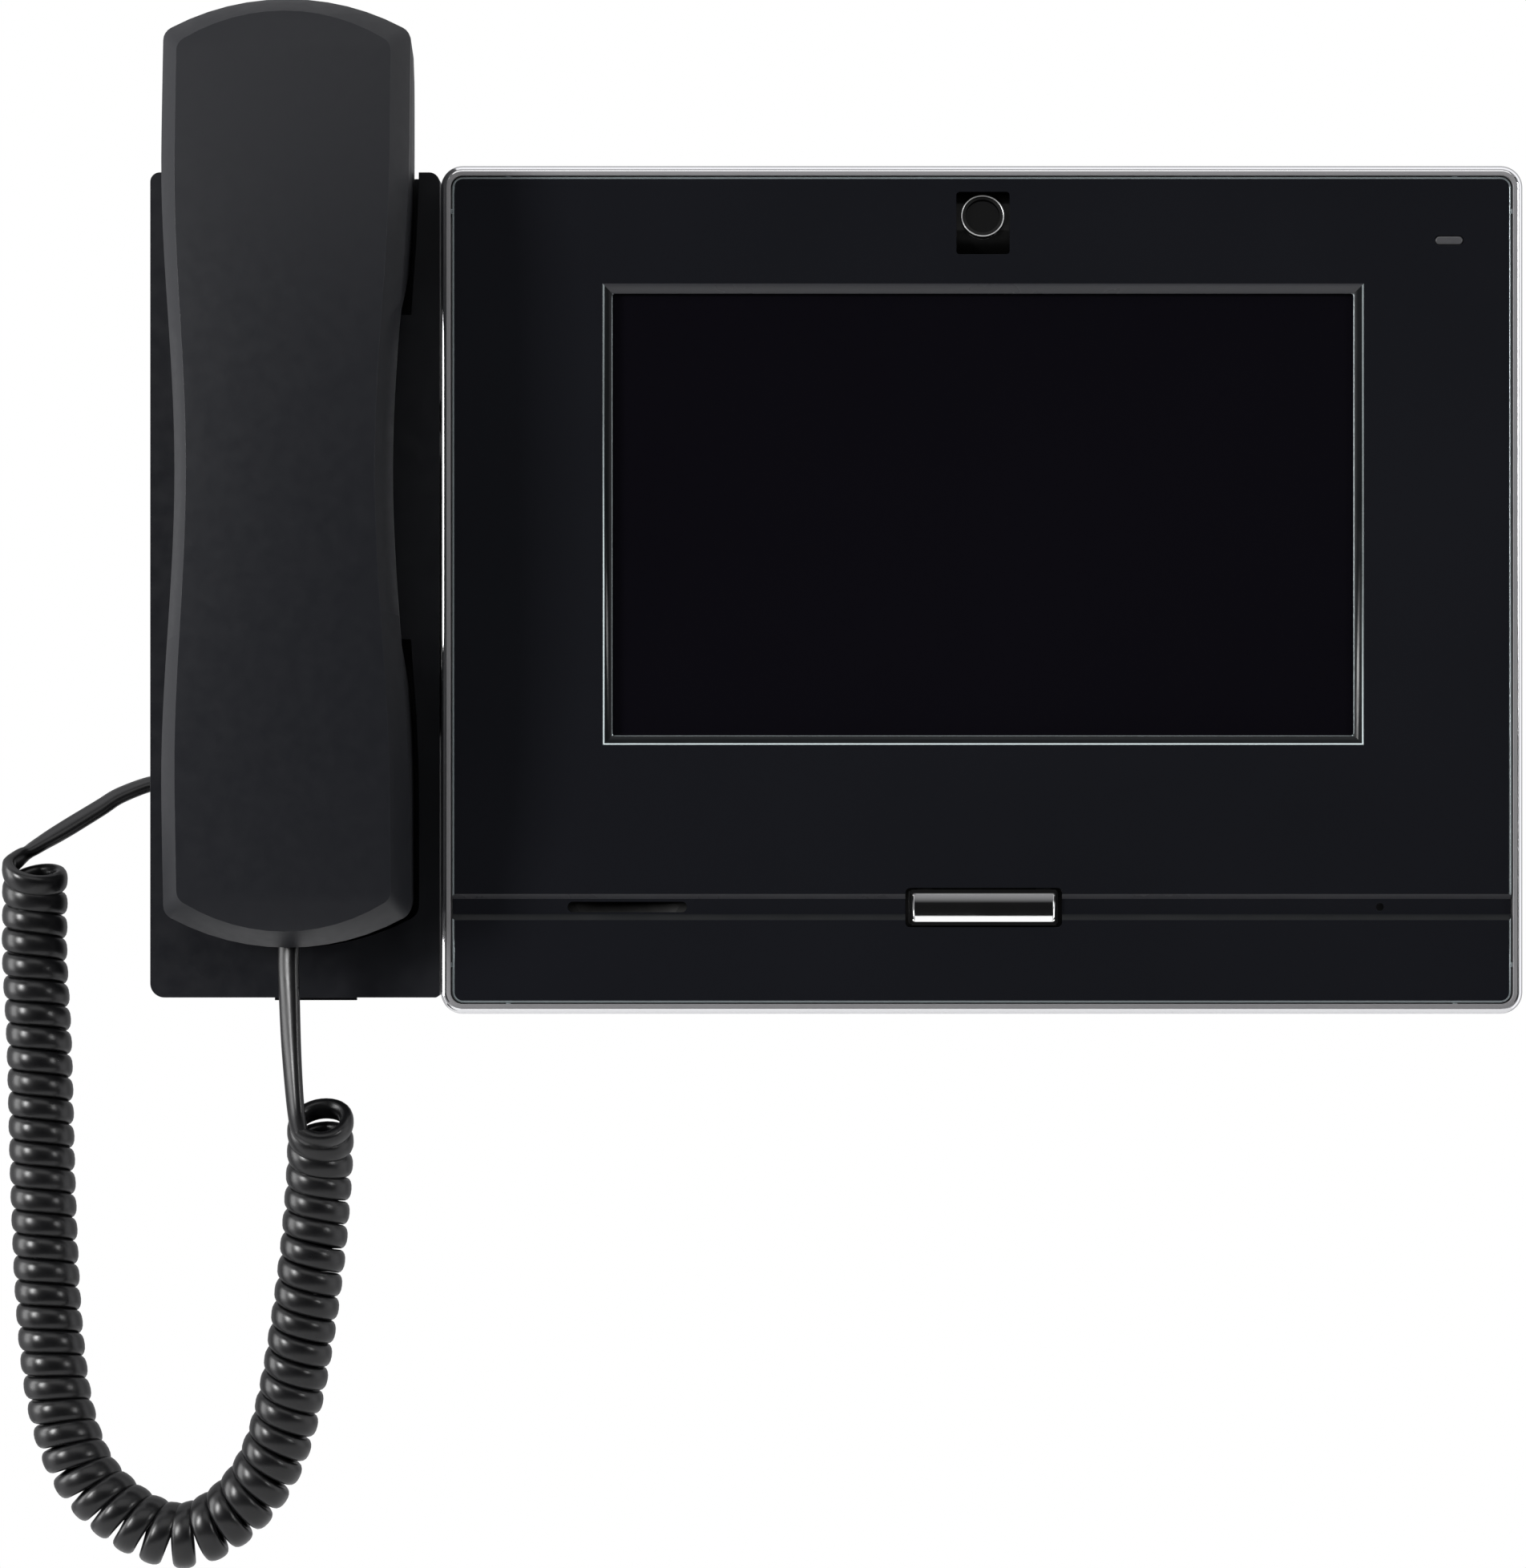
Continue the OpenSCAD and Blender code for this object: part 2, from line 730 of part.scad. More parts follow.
// Shielded network socket, its mouth facing down into the cable well
module lan_socket() {
    color("silver")
        difference() {
            block([lan_x - 8, board_back, lan_z0], [lan_x + 8, -9.5, lan_z0 + 21]);
            block([lan_x - 5.9, -21.2, lan_z0 - 1], [lan_x + 5.9, -14, lan_z0 + 14]);
            block([lan_x - 3, -14.5, lan_z0 - 1], [lan_x + 3, -11.6, lan_z0 + 14]);
        }
}

// Screw terminals for the door release and the call buttons
module terminal_block() {
    color("seagreen")
        difference() {
            block([-21, board_back, -34], [-4, -12.5, -24]);
            for (x = [-18.2 : 3.8 : -6.5]) {
                bar_y(x, -12.4, -29, 1.5, 3);
                block([x - 1.2, -20.5, -35], [x + 1.2, -16.5, -29]);
            }
        }
}

// Eight alike screws: four hold the board, four hold the screen bracket
module inner_screws() {
    color("silver") {
        for (x = [-post_x, post_x], z = [board_z0 + 6, board_z1 - 6])
            screw(x, board_front, z, 6, -1);
        for (sx = [-1, 1], ez = lug_z)
            screw(sx * lug_x, bracket_back, ez, 6, 1);
    }
}

module case_screws() {
    color("silver")
        for (x = [-case_x, case_x], z = [-case_z, 0, case_z])
            screw(x, -18.4, z, 13, 1);
}

// ---------------------------------------------------------------- speaker and microphone

module speaker_gasket() {
    color("#303034")
        difference() {
            bar_y(slot_x, panel_back + 1.2, speaker_z, speaker_r, 1.2);
            bar_y(slot_x, panel_back + 2, speaker_z, speaker_r - 2.5, 3);
        }
}

module speaker_basket() {
    y = panel_back + 1.2;
    color("dimgray")
        difference() {
            union() {
                bar_y(slot_x, y + 1.5, speaker_z, speaker_r, 1.5);
                bar_y(slot_x, y + 7.5, speaker_z, 10, 6.5, speaker_r - 1);
            }
            bar_y(slot_x, y + 6.5, speaker_z, 8.8, 6.6, speaker_r - 2.4);
            bar_y(slot_x, y + 10, speaker_z, 5, 6);
        }
}

module speaker_magnet() {
    color("#44464a")
        bar_y(slot_x, panel_back + 14.7, speaker_z, 11, 6);
}

module speaker_cone() {
    y = panel_back + 1.2;
    color("#1c1c1e")
        difference() {
            bar_y(slot_x, y + 5.4, speaker_z, 5, 5, speaker_r - 4);
            bar_y(slot_x, y + 4.8, speaker_z, 4.2, 5.2, speaker_r - 4.6);
        }
}

module mic_boot() {
    color("#222224")
        difference() {
            bar_y(mic_x, panel_back + 5, groove_z, 4.6, 5);
            bar_y(mic_x, panel_back + 6, groove_z, 3.05, 4.3);
            bar_y(mic_x, panel_back + 3, groove_z, 1, 4);
        }
}

module mic_capsule() {
    color("silver")
        bar_y(mic_x, panel_back + 4.4, groove_z, 3, 2.6);
}

// Light pipe of the status lamp: a pill in the panel with a flange behind it
module led_lens() {
    color([0.6, 0.62, 0.64])
        union() {
            slab(panel_back + 0.5, panel_t + 0.4)
                centred(led_x, led_z, led_w / 2 - 0.1, led_h / 2 - 0.1, led_h / 2 - 0.15);
            slab(panel_back + 2.5, 2.4)
                rounded(led_x - 4.2, led_x + 4.2, led_z - 2.2, led_z + 1.2, [0.8, 0.8, 0.3, 0.3]);
        }
}

module led_board() {
    color("#1f5a36")
        block([led_x - 7, panel_back + 2.7, led_z - 4], [led_x + 1.6, panel_back + 3.7, led_z + 1.2]);
}

// ---------------------------------------------------------------- camera

// A shape about the drum's axis, turned up by the stored tilt
module tilted() {
    translate([camera_x, camera_y, camera_z])
        rotate([-lens_tilt, 0, 0])
            children();
}

// Fixed yoke with the two pins that the drum turns on
module camera_yoke() {
    arm = 2;
    inner = drum_w / 2 + 0.3;
    color("#2a2a2d") {
        for (sx = [-1, 1]) {
            translate([camera_x + sx * (inner + arm / 2), yoke_back - 8.6, camera_z])
                cube([arm, 14, 9], center = true);
            bar_x(camera_x + sx * (inner - 0.65) - 1, camera_y, camera_z, 1.2, 2);
        }
        translate([camera_x, yoke_back - 1, camera_z - 1])
            cube([2 * (inner + arm), 2, 13], center = true);
    }
}

// Barrel that carries the lens; it tilts up and down behind the window in the panel
module camera_drum() {
    color("#17181a")
        difference() {
            bar_x(camera_x - drum_w / 2, camera_y, camera_z, drum_r, drum_w);
            tilted()
                translate([-20, -20 - flat_d, -20])
                    cube([40, 20, 40]);
            tilted()
                rotate([90, 0, 0])
                    cylinder(r = lens_ring_r + 0.05, h = 40, center = true);
            bar_x(camera_x - 20, camera_y, camera_z, 1.25, 40);
        }
}

module lens_ring() {
    color("#8a8d90")
        tilted()
            rotate([90, 0, 0])
                translate([0, 0, 5.3])
                    difference() {
                        cylinder(r = lens_ring_r, h = 2.6);
                        translate([0, 0, -1])
                            cylinder(r = 3.6, h = 5);
                    }
}

module camera_lens() {
    color("#0a0c14")
        tilted()
            rotate([90, 0, 0])
                translate([0, 0, 5.3])
                    cylinder(r = 3.55, h = 1.9);
}

// Sensor on its small board, behind the lens
module camera_module() {
    color("#1f5a36")
        tilted()
            rotate([90, 0, 0])
                translate([0, 0, 2.2])
                    cylinder(r = 4.2, h = 3);
}

// ---------------------------------------------------------------- talk button

// Frame behind the opening; two tabs at its top edge show above the button
module button_guide() {
    color("#202124")
        difference() {
            union() {
                slab(guide_back, guide_back - panel_back)
                    centred(button_x, button_z, 22, 8.4, 1.5);
                for (x = [-11.8, 12.9])
                    translate([x, panel_back - 0.5, button_z + button_h / 2 + 0.38])
                        cube([3, 2.2, 0.5], center = true);
            }
            slab(guide_back + 1, 5.6)
                centred(button_x, button_z, 19, 6, 1);
            slab(guide_back + 1, 12)
                centred(button_x, button_z, button_w / 2 + 0.4, button_h / 2 + 0.1, 0.6);
        }
}

// Chrome bar with a hollowed face, its flange and the stem that presses the switch
module talk_button() {
    color("white")
        union() {
            difference() {
                slab(panel_back + 2, panel_t + 2.3)
                    centred(button_x, button_z, button_w / 2, button_h / 2, 0.6);
                bar_x(button_x - button_w / 2 + 0.6, panel_front - 7.6, button_z, 8, button_w - 1.2);
            }
            slab(panel_back + 2.6, 1.2)
                centred(button_x, button_z, 17.6, 5, 0.8);
            bar_y(button_x, stem_back, button_z, 2, 1.2);
        }
}

module button_board() {
    color("#1f5a36")
        slab(guide_back + 1.6, 1.5)
            centred(button_x, button_z, 22, 8.4, 1);
}

module tact_switch() {
    color("#303234")
        union() {
            block([button_x - 3, guide_back - 1.4, button_z - 3],
                [button_x + 3, guide_back + 0.1, button_z + 3]);
            bar_y(button_x, guide_back, button_z, 1.2, guide_back - stem_back - button_travel - 0.3);
        }
}

// Two small coil springs that push the button back out
module button_springs() {
    color("silver")
        for (x = [-11, 11])
            difference() {
                bar_y(button_x + x, guide_back - 0.02, button_z, 1.7, guide_back - panel_back - 2.65);
                bar_y(button_x + x, guide_back + 1, button_z, 1.3, 8);
            }
}

// ---------------------------------------------------------------- cradle

// Hollows for the handset's ear cup and mouth cup: its outline, grown by a clearance
module pockets(grow) {
    intersection() {
        translate([handset_x, 0, handset_mid])
            slab(pocket_floor + grow, -pocket_floor + cradle_front + 40 + grow)
                polygon(outline(-0.5 - grow));
        union() {
            translate([cradle_x0 - 5, cradle_front - 20, 58 - grow])
                cube([cradle_w + 10, 40, 80]);
            translate([cradle_x0 - 5, cradle_front - 20, -90])
                cube([cradle_w + 10, 40, 80 + grow]);
        }
    }
}

// Front shell of the cradle
module cradle_shell() {
    inner_x0 = cradle_x0 + wall;
    inner_x1 = cradle_x1 - wall;
    color("#1d1e21")
        difference() {
            slab(cradle_back_y, cradle_back_y - cradle_front)
                rounded(cradle_x0, cradle_x1, cradle_bottom, cradle_top, [3, 1, 2.2, 2]);
            difference() {
                slab(0, -cradle_front - wall)
                    rounded(inner_x0, inner_x1, cradle_bottom + wall, cradle_top - wall, [1, 1, 1, 1]);
                pockets(pocket_wall);
                for (p = close_at)
                    bar_y(p[0], -6.2, p[1], 4, 8);
            }
            pockets(0);
            // hook plunger
            bar_y(handset_x, -10, hook_z, 3.05, 8);
            // way in for the cord's plug
            block([cradle_x0 - 1, jack_y - 4.3, jack_z - 4], [inner_x0 + 1, jack_y + 4.3, jack_z + 4]);
            // way out for the cable to the main unit
            block([inner_x1 - 1, -10, 32], [cradle_x1 + 1, -6.6, 44]);
            for (p = close_at)
                bar_y(p[0], 0, p[1], pilot_r, 12);
            // notch for the back's tab
            block([-150.4, -2.8, cradle_bottom - 1], [-132.1, 0, cradle_bottom + wall + 1]);
            // recess for the bracket that joins the main unit
            block([-136, joint_floor, -31], [cradle_x1 + 1, 0, 31]);
        }
}

// Plastic back of the cradle; a tab at its lower edge shows below the shell
module cradle_back() {
    front = -2.6;
    color("#242528")
        difference() {
            union() {
                slab(-0.5, -front - 0.5)
                    centred(handset_x, (cradle_top + cradle_bottom) / 2, cradle_w / 2 - wall - gap,
                        (cradle_top - cradle_bottom) / 2 - wall - gap, 1);
                block([-150, front, cradle_bottom - 1.5], [-132.5, -0.5, cradle_bottom + wall + 1]);
                block([-138, joint_floor - 2.6, -33], [cradle_x1 - wall - gap, front + through, 33]);
                for (p = close_at)
                    bar_y(p[0], front + through, p[1], 4, 3.5);
                for (p = pin_at) {
                    bar_y(p[0], front + through, p[1], 2.5, 1.1);
                    bar_y(p[0], front + through, p[1], 1.2, 3.2);
                }
            }
            block([-136, joint_floor, -31], [-100, 0, 31]);
            for (z = bracket_z)
                bar_y(bracket_x[0], 1, z, pilot_r, 10);
            for (p = close_at) {
                bar_y(p[0], 1, p[1], 3, 4.4);
                bar_y(p[0], 1, p[1], clear_r, 10);
            }
        }
}

// Four alike screws that close the cradle
module cradle_screws() {
    color("silver")
        for (p = close_at)
            screw(p[0], joint_floor, p[1], 8, 1);
}

module side_bracket() {
    color("silver")
        difference() {
            slab(joint_floor + 1.2, 1.1)
                centred(-105, 0, 30, 30, 2);
            for (x = bracket_x, z = bracket_z)
                bar_y(x, 0, z, clear_r, 5);
        }
}

module side_screws() {
    color("silver")
        for (x = bracket_x, z = bracket_z)
            screw(x, joint_floor + 1.2, z, 6, 1);
}

module hook_board() {
    color("#1f5a36")
        difference() {
            slab(hook_board_y + 1.4, 1.4)
                rounded(-161.5, -126, 36, 84, [1, 1, 1, 1]);
            for (p = pin_at)
                bar_y(p[0], 1, p[1], clear_r, 10);
        }
}

module hook_switch() {
    color("#303234")
        block([handset_x + 7, -10.5, hook_z - 3], [handset_x + 19, hook_board_y, hook_z + 3]);
}

// Pin that the ear cup holds in; it follows the handset out
module hook_plunger() {
    tip = -cup_y + 0.3;
    color("#3a3b3f")
        union() {
            bar_y(handset_x, -7.5, hook_z, 3, -tip - 8.3);
            bar_y(handset_x, tip + 0.81, hook_z, 3, 0.8, 2.2);
            bar_y(handset_x, -6.5, hook_z, 5, 1);
        }
}

module hook_spring() {
    color("silver")
        difference() {
            bar_y(handset_x, hook_board_y - 0.05, hook_z, 4, 1.4);
            bar_y(handset_x, 0, hook_z, 3.4, 10);
        }
}

// A modular socket about its own mouth: the mouth faces -X, and the plug's width lies on y
module socket_shape() {
    difference() {
        translate([0, -socket_w / 2, -socket_t / 2])
            cube([socket_l, socket_w, socket_t]);
        translate([-1, -plug_w / 2 - 0.1, -plug_t / 2 - 0.1])
            cube([plug_l + 2.2, plug_w + 0.2, plug_t + 0.2]);
    }
}

module plug_shape() {
    translate([0, -plug_w / 2, -plug_t / 2])
        difference() {
            cube([plug_l, plug_w, plug_t]);
            for (k = [0 : 3])
                translate([plug_l - 4, 1.7 + k * 1.27, plug_t - 1.2])
                    cube([5, 0.5, 2]);
        }
}

module base_socket() {
    color("#2e3033")
        translate([cradle_x0 + wall + 0.4, jack_y, jack_z])
            socket_shape();
}

module base_cord_plug() {
    color("lightgray")
        translate([cradle_x0 + wall + 1.2, jack_y, jack_z])
            plug_shape();
}

// Flat cable from the cradle's board to the main board
module link_cable() {
    t = 0.6;
    color("#6a6c70") {
        block([-128, -8.6, 34.5], [-96, -8.6 + t, 41.5]);
        block([-128, -8.6, 34.5], [-128 + t, hook_board_y, 41.5]);
        block([-96.6, -22.6, 34.5], [-96, -8, 41.5]);
        block([-96.6, -22.6, 34.5], [-80, -22, 41.5]);
        block([-84, board_back, 34.5], [-80, -22, 41.5]);
    }
}

// ---------------------------------------------------------------- cord

module cord_base_tail() {
    color("#141416")
        tube(curve(base_route, 2), cord_w, cord_t, [0, 1, 0], 8);
}

module cord_curl() {
    color("#141416")
        tube(curve(curl_route, 2), curl_d, curl_d, [0, 1, 0], 10);
}

module cord_handset_tail() {
    color("#141416")
        tube(curve(handset_route, 2), cord_w, cord_t, [1, 0, 0], 8);
}

// ---------------------------------------------------------------- handset

// A ring of the handset's outline, drawn in by inset, at the depths that depth(z) gives
function ring(inset, depth) = [
    for (p = outline(inset))
        [handset_x + p[0], depth(p[1] + handset_mid), p[1] + handset_mid]
];

// Outer shell, with the bevelled face
module handset_front() {
    t = 2.4;
    color("#2c2f36")
        difference() {
            union() {
                difference() {
                    ring_solid([
                        ring(0, function (z) seam_y(z)),
                        ring(0, function (z) face_y(z) + face_drop),
                        ring(face_bevel, function (z) face_y(z))
                    ]);
                    ring_solid([
                        ring(wall, function (z) seam_y(z) + 1),
                        ring(wall, function (z) face_y(z) + face_drop),
                        ring(face_bevel + 1.8, function (z) face_y(z) + t)
                    ]);
                }
                for (z = screw_z)
                    bar_y(handset_x, seam_y(z) - 0.5, z, 3.6, 8.6);
            }
            for (z = screw_z)
                bar_y(handset_x, -50, z, 1.3, 12);
        }
}

// Inner shell, with the ear cup, the grip and the mouth cup
module handset_back() {
    color("#26282d")
        difference() {
            union() {
                difference() {
                    ring_solid([
                        ring(3.6, function (z) back_y(z)),
                        ring(0.8, function (z) back_y(z) - 4),
                        ring(0, function (z) seam_y(z) + gap)
                    ]);
                    ring_solid([
                        ring(5.6, function (z) back_y(z) - wall),
                        ring(3, function (z) back_y(z) - 5.6),
                        ring(wall, function (z) seam_y(z) - 1)
                    ]);
                }
                for (z = screw_z)
                    bar_y(handset_x, back_y(z) - 1, z, 4, back_y(z) - seam_y(z) - 1.5);
            }
            for (z = screw_z) {
                bar_y(handset_x, back_y(z) + 2, z, 2.8, 7);
                bar_y(handset_x, back_y(z) + 2, z, 1.4, 20);
            }
            // listening holes, speaking holes, and the way in for the cord's plug
            for (a = [0 : 60 : 300], k = [0, 1])
                bar_y(handset_x + (k == 0 ? 4 * cos(a) : 7.5 * cos(a + 30)), -15,
                    ear_z + (k == 0 ? 4 * sin(a) : 7.5 * sin(a + 30)), 0.9, 6);
            bar_y(handset_x, -15, ear_z, 0.9, 6);
            for (x = [-3, 0, 3])
                bar_y(handset_x + x, -15, mouth_z, 0.8, 6);
            block([handset_x - 4.6, -44.5, handset_bottom - 1], [handset_x + 4.6, -37.3, -68]);
        }
}

module handset_screws() {
    color("silver")
        for (z = screw_z) {
            bar_y(handset_x, back_y(z) - 4.9, z, 1.25, 11);
            bar_y(handset_x, back_y(z) - 3.4, z, 2.5, 1.6);
        }
}

module ear_gasket() {
    color("#303034")
        difference() {
            bar_y(handset_x, -cup_y - 2.4, ear_z, 13, 1.5);
            bar_y(handset_x, -cup_y, ear_z, 10.5, 8);
        }
}

module ear_capsule() {
    color("#505256")
        union() {
            bar_y(handset_x, -cup_y - 3.9, ear_z, 15, 7);
            bar_y(handset_x, -cup_y - 10.9, ear_z, 9, 4);
        }
}

module handset_mic_boot() {
    color("#222224")
        difference() {
            bar_y(handset_x, -cup_y - 2.3, mouth_z, 6.5, 6.5);
            bar_y(handset_x, -cup_y - 4, mouth_z, 4.9, 10);
            bar_y(handset_x, -cup_y, mouth_z, 3.6, 10);
        }
}

module handset_mic() {
    color("silver")
        bar_y(handset_x, -cup_y - 4.1, mouth_z, 4.85, 4.6);
}

// Steel bar that gives the handset its weight
module handset_weight() {
    color("#6f7276")
        block([handset_x - 14, -61.5, 8], [handset_x + 14, -53, 38]);
}

module handset_socket() {
    color("#2e3033")
        translate([handset_x, cord_y, -70.6])
            rotate([0, -90, 0])
                rotate([90, 0, 0])
                    socket_shape();
}

module handset_cord_plug() {
    color("lightgray")
        translate([handset_x, cord_y, -70.2])
            rotate([0, -90, 0])
                rotate([90, 0, 0])
                    plug_shape();
}

wall_plate();
rear_cover();
bezel_frame();
front_panel();
screen_gasket();
touch_glass();
lcd_panel();
backlight_tray();
screen_bracket();
lcd_ribbon();
main_board();
processor_shield();
lan_socket();
terminal_block();
inner_screws();
case_screws();
speaker_basket();
speaker_magnet();
speaker_cone();
speaker_gasket();
mic_boot();
mic_capsule();
led_lens();
led_board();
camera_yoke();
camera_drum();
lens_ring();
camera_lens();
camera_module();
button_guide();
button_board();
tact_switch();
button_springs();
talk_button();
side_bracket();
side_screws();
cradle_shell();
cradle_back();
cradle_screws();
hook_board();
hook_switch();
hook_plunger();
hook_spring();
base_socket();
base_cord_plug();
link_cable();
cord_base_tail();
cord_curl();
cord_handset_tail();
handset_front();
handset_back();
handset_screws();
ear_capsule();
ear_gasket();
handset_mic();
handset_mic_boot();
handset_weight();
handset_socket();
handset_cord_plug();
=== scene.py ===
import math

import bmesh
import bpy
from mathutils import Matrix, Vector


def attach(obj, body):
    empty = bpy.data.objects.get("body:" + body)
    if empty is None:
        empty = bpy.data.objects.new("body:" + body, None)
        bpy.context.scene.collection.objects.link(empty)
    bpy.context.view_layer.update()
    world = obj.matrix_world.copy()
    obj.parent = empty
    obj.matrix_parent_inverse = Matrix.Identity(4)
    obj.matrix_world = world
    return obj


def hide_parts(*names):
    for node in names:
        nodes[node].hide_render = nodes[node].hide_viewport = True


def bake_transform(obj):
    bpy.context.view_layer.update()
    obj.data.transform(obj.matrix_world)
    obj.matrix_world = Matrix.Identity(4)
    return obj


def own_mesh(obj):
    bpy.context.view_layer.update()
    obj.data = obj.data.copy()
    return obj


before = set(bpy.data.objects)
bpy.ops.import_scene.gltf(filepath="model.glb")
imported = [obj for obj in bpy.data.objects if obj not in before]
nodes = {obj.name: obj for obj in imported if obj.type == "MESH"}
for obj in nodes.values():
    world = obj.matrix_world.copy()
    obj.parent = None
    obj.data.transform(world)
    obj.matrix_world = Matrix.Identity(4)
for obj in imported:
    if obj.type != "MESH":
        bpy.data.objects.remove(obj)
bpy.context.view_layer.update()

mm = 0.001

# Viewpoint
# The monitor is seen square on from 1.2 m, level with the middle of everything from the
# handset's top to the lowest turn of its cord.
view_distance = 1.2
front_face = -0.038
seen_width = 0.31733
view_x = -0.0455
view_z = -0.0404
bpy.ops.object.camera_add(
    location=(view_x, front_face - view_distance, view_z), rotation=(math.pi / 2, 0, 0)
)
camera = bpy.context.object
camera.name = "viewpoint"
camera.data.sensor_fit = "HORIZONTAL"
camera.data.sensor_width = 36
camera.data.lens = camera.data.sensor_width * view_distance / seen_width
bpy.context.scene.camera = camera
bpy.context.scene.view_settings.view_transform = "Standard"

# Handset cord
# Flat four-wire cord with a glossy black sheath. Most of it is wound into a tight left-handed
# curl; one straight end comes out of the handset and the other goes into the cradle's side.
cord_width = 4.85 * mm
cord_thickness = 2.9 * mm
curl_radius = 5.5 * mm
curl_pitch = 4.98 * mm
steps_per_turn = 32
cradle_end = [
    (-170.65, -7.25, -40.5), (-173.5, -7.25, -40.4), (-176.5, -7.3, -40.5),
    (-182.7, -7.6, -42.9), (-186.8, -7.9, -45.5), (-194.4, -8.8, -50.2),
    (-198.8, -9.6, -52.9), (-202.8, -11.0, -55.6),
]
curl_middle = [
    (-199.7, -16.0, -58.2), (-199.9, -14.2, -62.4), (-200, -13.5, -67.5), (-200, -13.5, -78),
    (-199, -14, -96), (-198, -15, -128), (-196.5, -16.5, -154), (-194, -18, -172),
    (-189.5, -20, -184.5), (-183, -21.5, -192), (-175, -23, -197), (-167, -24, -198.5),
    (-159, -25.5, -195), (-152, -27, -188), (-147.5, -28.5, -179.5), (-144.5, -30, -169),
    (-142, -32, -156), (-139.7, -33.6, -140), (-138.7, -34.0, -130), (-138.1, -34.6, -122.6),
    (-137.7, -36.2, -116.6), (-137.4, -39.7, -111.2), (-137.3, -42.6, -108.9),
]
handset_end = [
    (-142.0, -44.7, -108.6), (-142.6, -44.2, -102.5), (-143.2, -43.1, -94.5),
    (-143.6, -42.2, -86), (-143.9, -41.4, -77.5), (-143.65, -41.05, -70.25),
]


def smooth_line(points, steps):
    """A curve through the points, with that many steps between each two."""
    line = []
    last = len(points) - 1
    for i in range(last):
        a = points[max(0, i - 1)]
        b = points[i]
        c = points[i + 1]
        d = points[min(last, i + 2)]
        for k in range(steps):
            t = k / steps
            line.append(0.5 * (
                2 * b + (c - a) * t + (2 * a - 5 * b + 4 * c - d) * t * t
                + (3 * b - 3 * c + d - a) * t * t * t
            ))
    line.append(points[last])
    return line


def wind_curl(middle, radius, pitch):
    """The cord's points round the curl's middle line, and the way that each faces."""
    line = smooth_line([Vector(p) * mm for p in middle], 24)
    away = Vector((0, 1, 0))
    phase = [0.0]
    tangents = []
    for i in range(len(line)):
        tangents.append((line[min(i + 1, len(line) - 1)] - line[max(i - 1, 0)]).normalized())
    for i in range(1, len(line)):
        step = (line[i] - line[i - 1]).length
        turn = tangents[i].angle(tangents[i - 1])
        bend = turn / step
        phase.append(phase[-1] + step / (pitch * (1 + 0.2 * radius * bend)))
    turns = math.floor(phase[-1]) + 0.5
    points = []
    facing = []
    at = 0
    count = round(turns * steps_per_turn)
    for k in range(count + 1):
        want = phase[-1] * k / count
        while at < len(phase) - 2 and phase[at + 1] < want:
            at += 1
        share = (want - phase[at]) / (phase[at + 1] - phase[at])
        centre = line[at].lerp(line[at + 1], share)
        along = tangents[at].lerp(tangents[at + 1], share).normalized()
        back = (away - along * away.dot(along)).normalized()
        inner = along.cross(back)
        angle = math.pi + 2 * math.pi * turns * k / count
        out = math.cos(angle) * inner + math.sin(angle) * back
        points.append(centre + radius * out)
        facing.append(out)
    return points, facing


curl_points, curl_facing = wind_curl(curl_middle, curl_radius, curl_pitch)
# the last eighth of a turn is left out, where the straight end rises from the curl's front
leave_early = steps_per_turn // 7
curl_points = curl_points[:-leave_early]
curl_facing = curl_facing[:-leave_early]

cradle_line = [Vector(p) * mm for p in cradle_end] + curl_points[:2]
cradle_line = smooth_line(cradle_line, 6)[:-6]
handset_line = curl_points[-2:] + [Vector(p) * mm for p in handset_end]
handset_line = smooth_line(handset_line, 8)[9:]
n_cradle = len(cradle_line)
n_handset = len(handset_line)
cord_points = cradle_line[:-1] + curl_points + handset_line

first_facing = Vector((-0.35, -0.15, 0.9))
middle_facing = Vector((-0.45, -0.62, 0.62))
last_facing = Vector((-0.55, -1, 0))
cord_facing = []
for k in range(n_cradle - 1):
    share = k / (n_cradle - 1)
    if share < 0.6:
        cord_facing.append(first_facing.lerp(middle_facing, share / 0.6))
    else:
        cord_facing.append(middle_facing.lerp(curl_facing[0], (share - 0.6) / 0.4))
cord_facing += curl_facing
for k in range(n_handset):
    share = min(1, 1.2 * (k + 1) / n_handset)
    cord_facing.append(curl_facing[-1].lerp(last_facing, share))


def cord_section(sides, half_width, half_thickness, squareness=2.3):
    """The flat cord's section: a rectangle with well rounded edges and slightly crowned faces."""
    section = []
    for k in range(sides):
        a = 2 * math.pi * (k + 0.5) / sides
        c = math.cos(a)
        s = math.sin(a)
        section.append((
            half_width * math.copysign(abs(c) ** (2 / squareness), c),
            half_thickness * math.copysign(abs(s) ** (2 / squareness), s),
        ))
    return section


def cord_mesh(name, points, facing, section):
    """A closed tube of that section along the points, with its flat side turned to facing."""
    verts = []
    faces = []
    sides = len(section)
    for i, p in enumerate(points):
        along = (points[min(i + 1, len(points) - 1)] - points[max(i - 1, 0)]).normalized()
        normal = (facing[i] - along * facing[i].dot(along)).normalized()
        across = along.cross(normal)
        for u, v in section:
            verts.append(p + across * u + normal * v)
    for i in range(len(points) - 1):
        for k in range(sides):
            a = i * sides + k
            b = i * sides + (k + 1) % sides
            faces.append((a, b, b + sides, a + sides))
    faces.append(tuple(range(sides - 1, -1, -1)))
    faces.append(tuple((len(points) - 1) * sides + k for k in range(sides)))
    mesh = bpy.data.meshes.new(name)
    mesh.from_pydata([tuple(v) for v in verts], [], faces)
    mesh.update()
    piece = bpy.data.objects.new(name, mesh)
    bpy.context.scene.collection.objects.link(piece)
    return piece


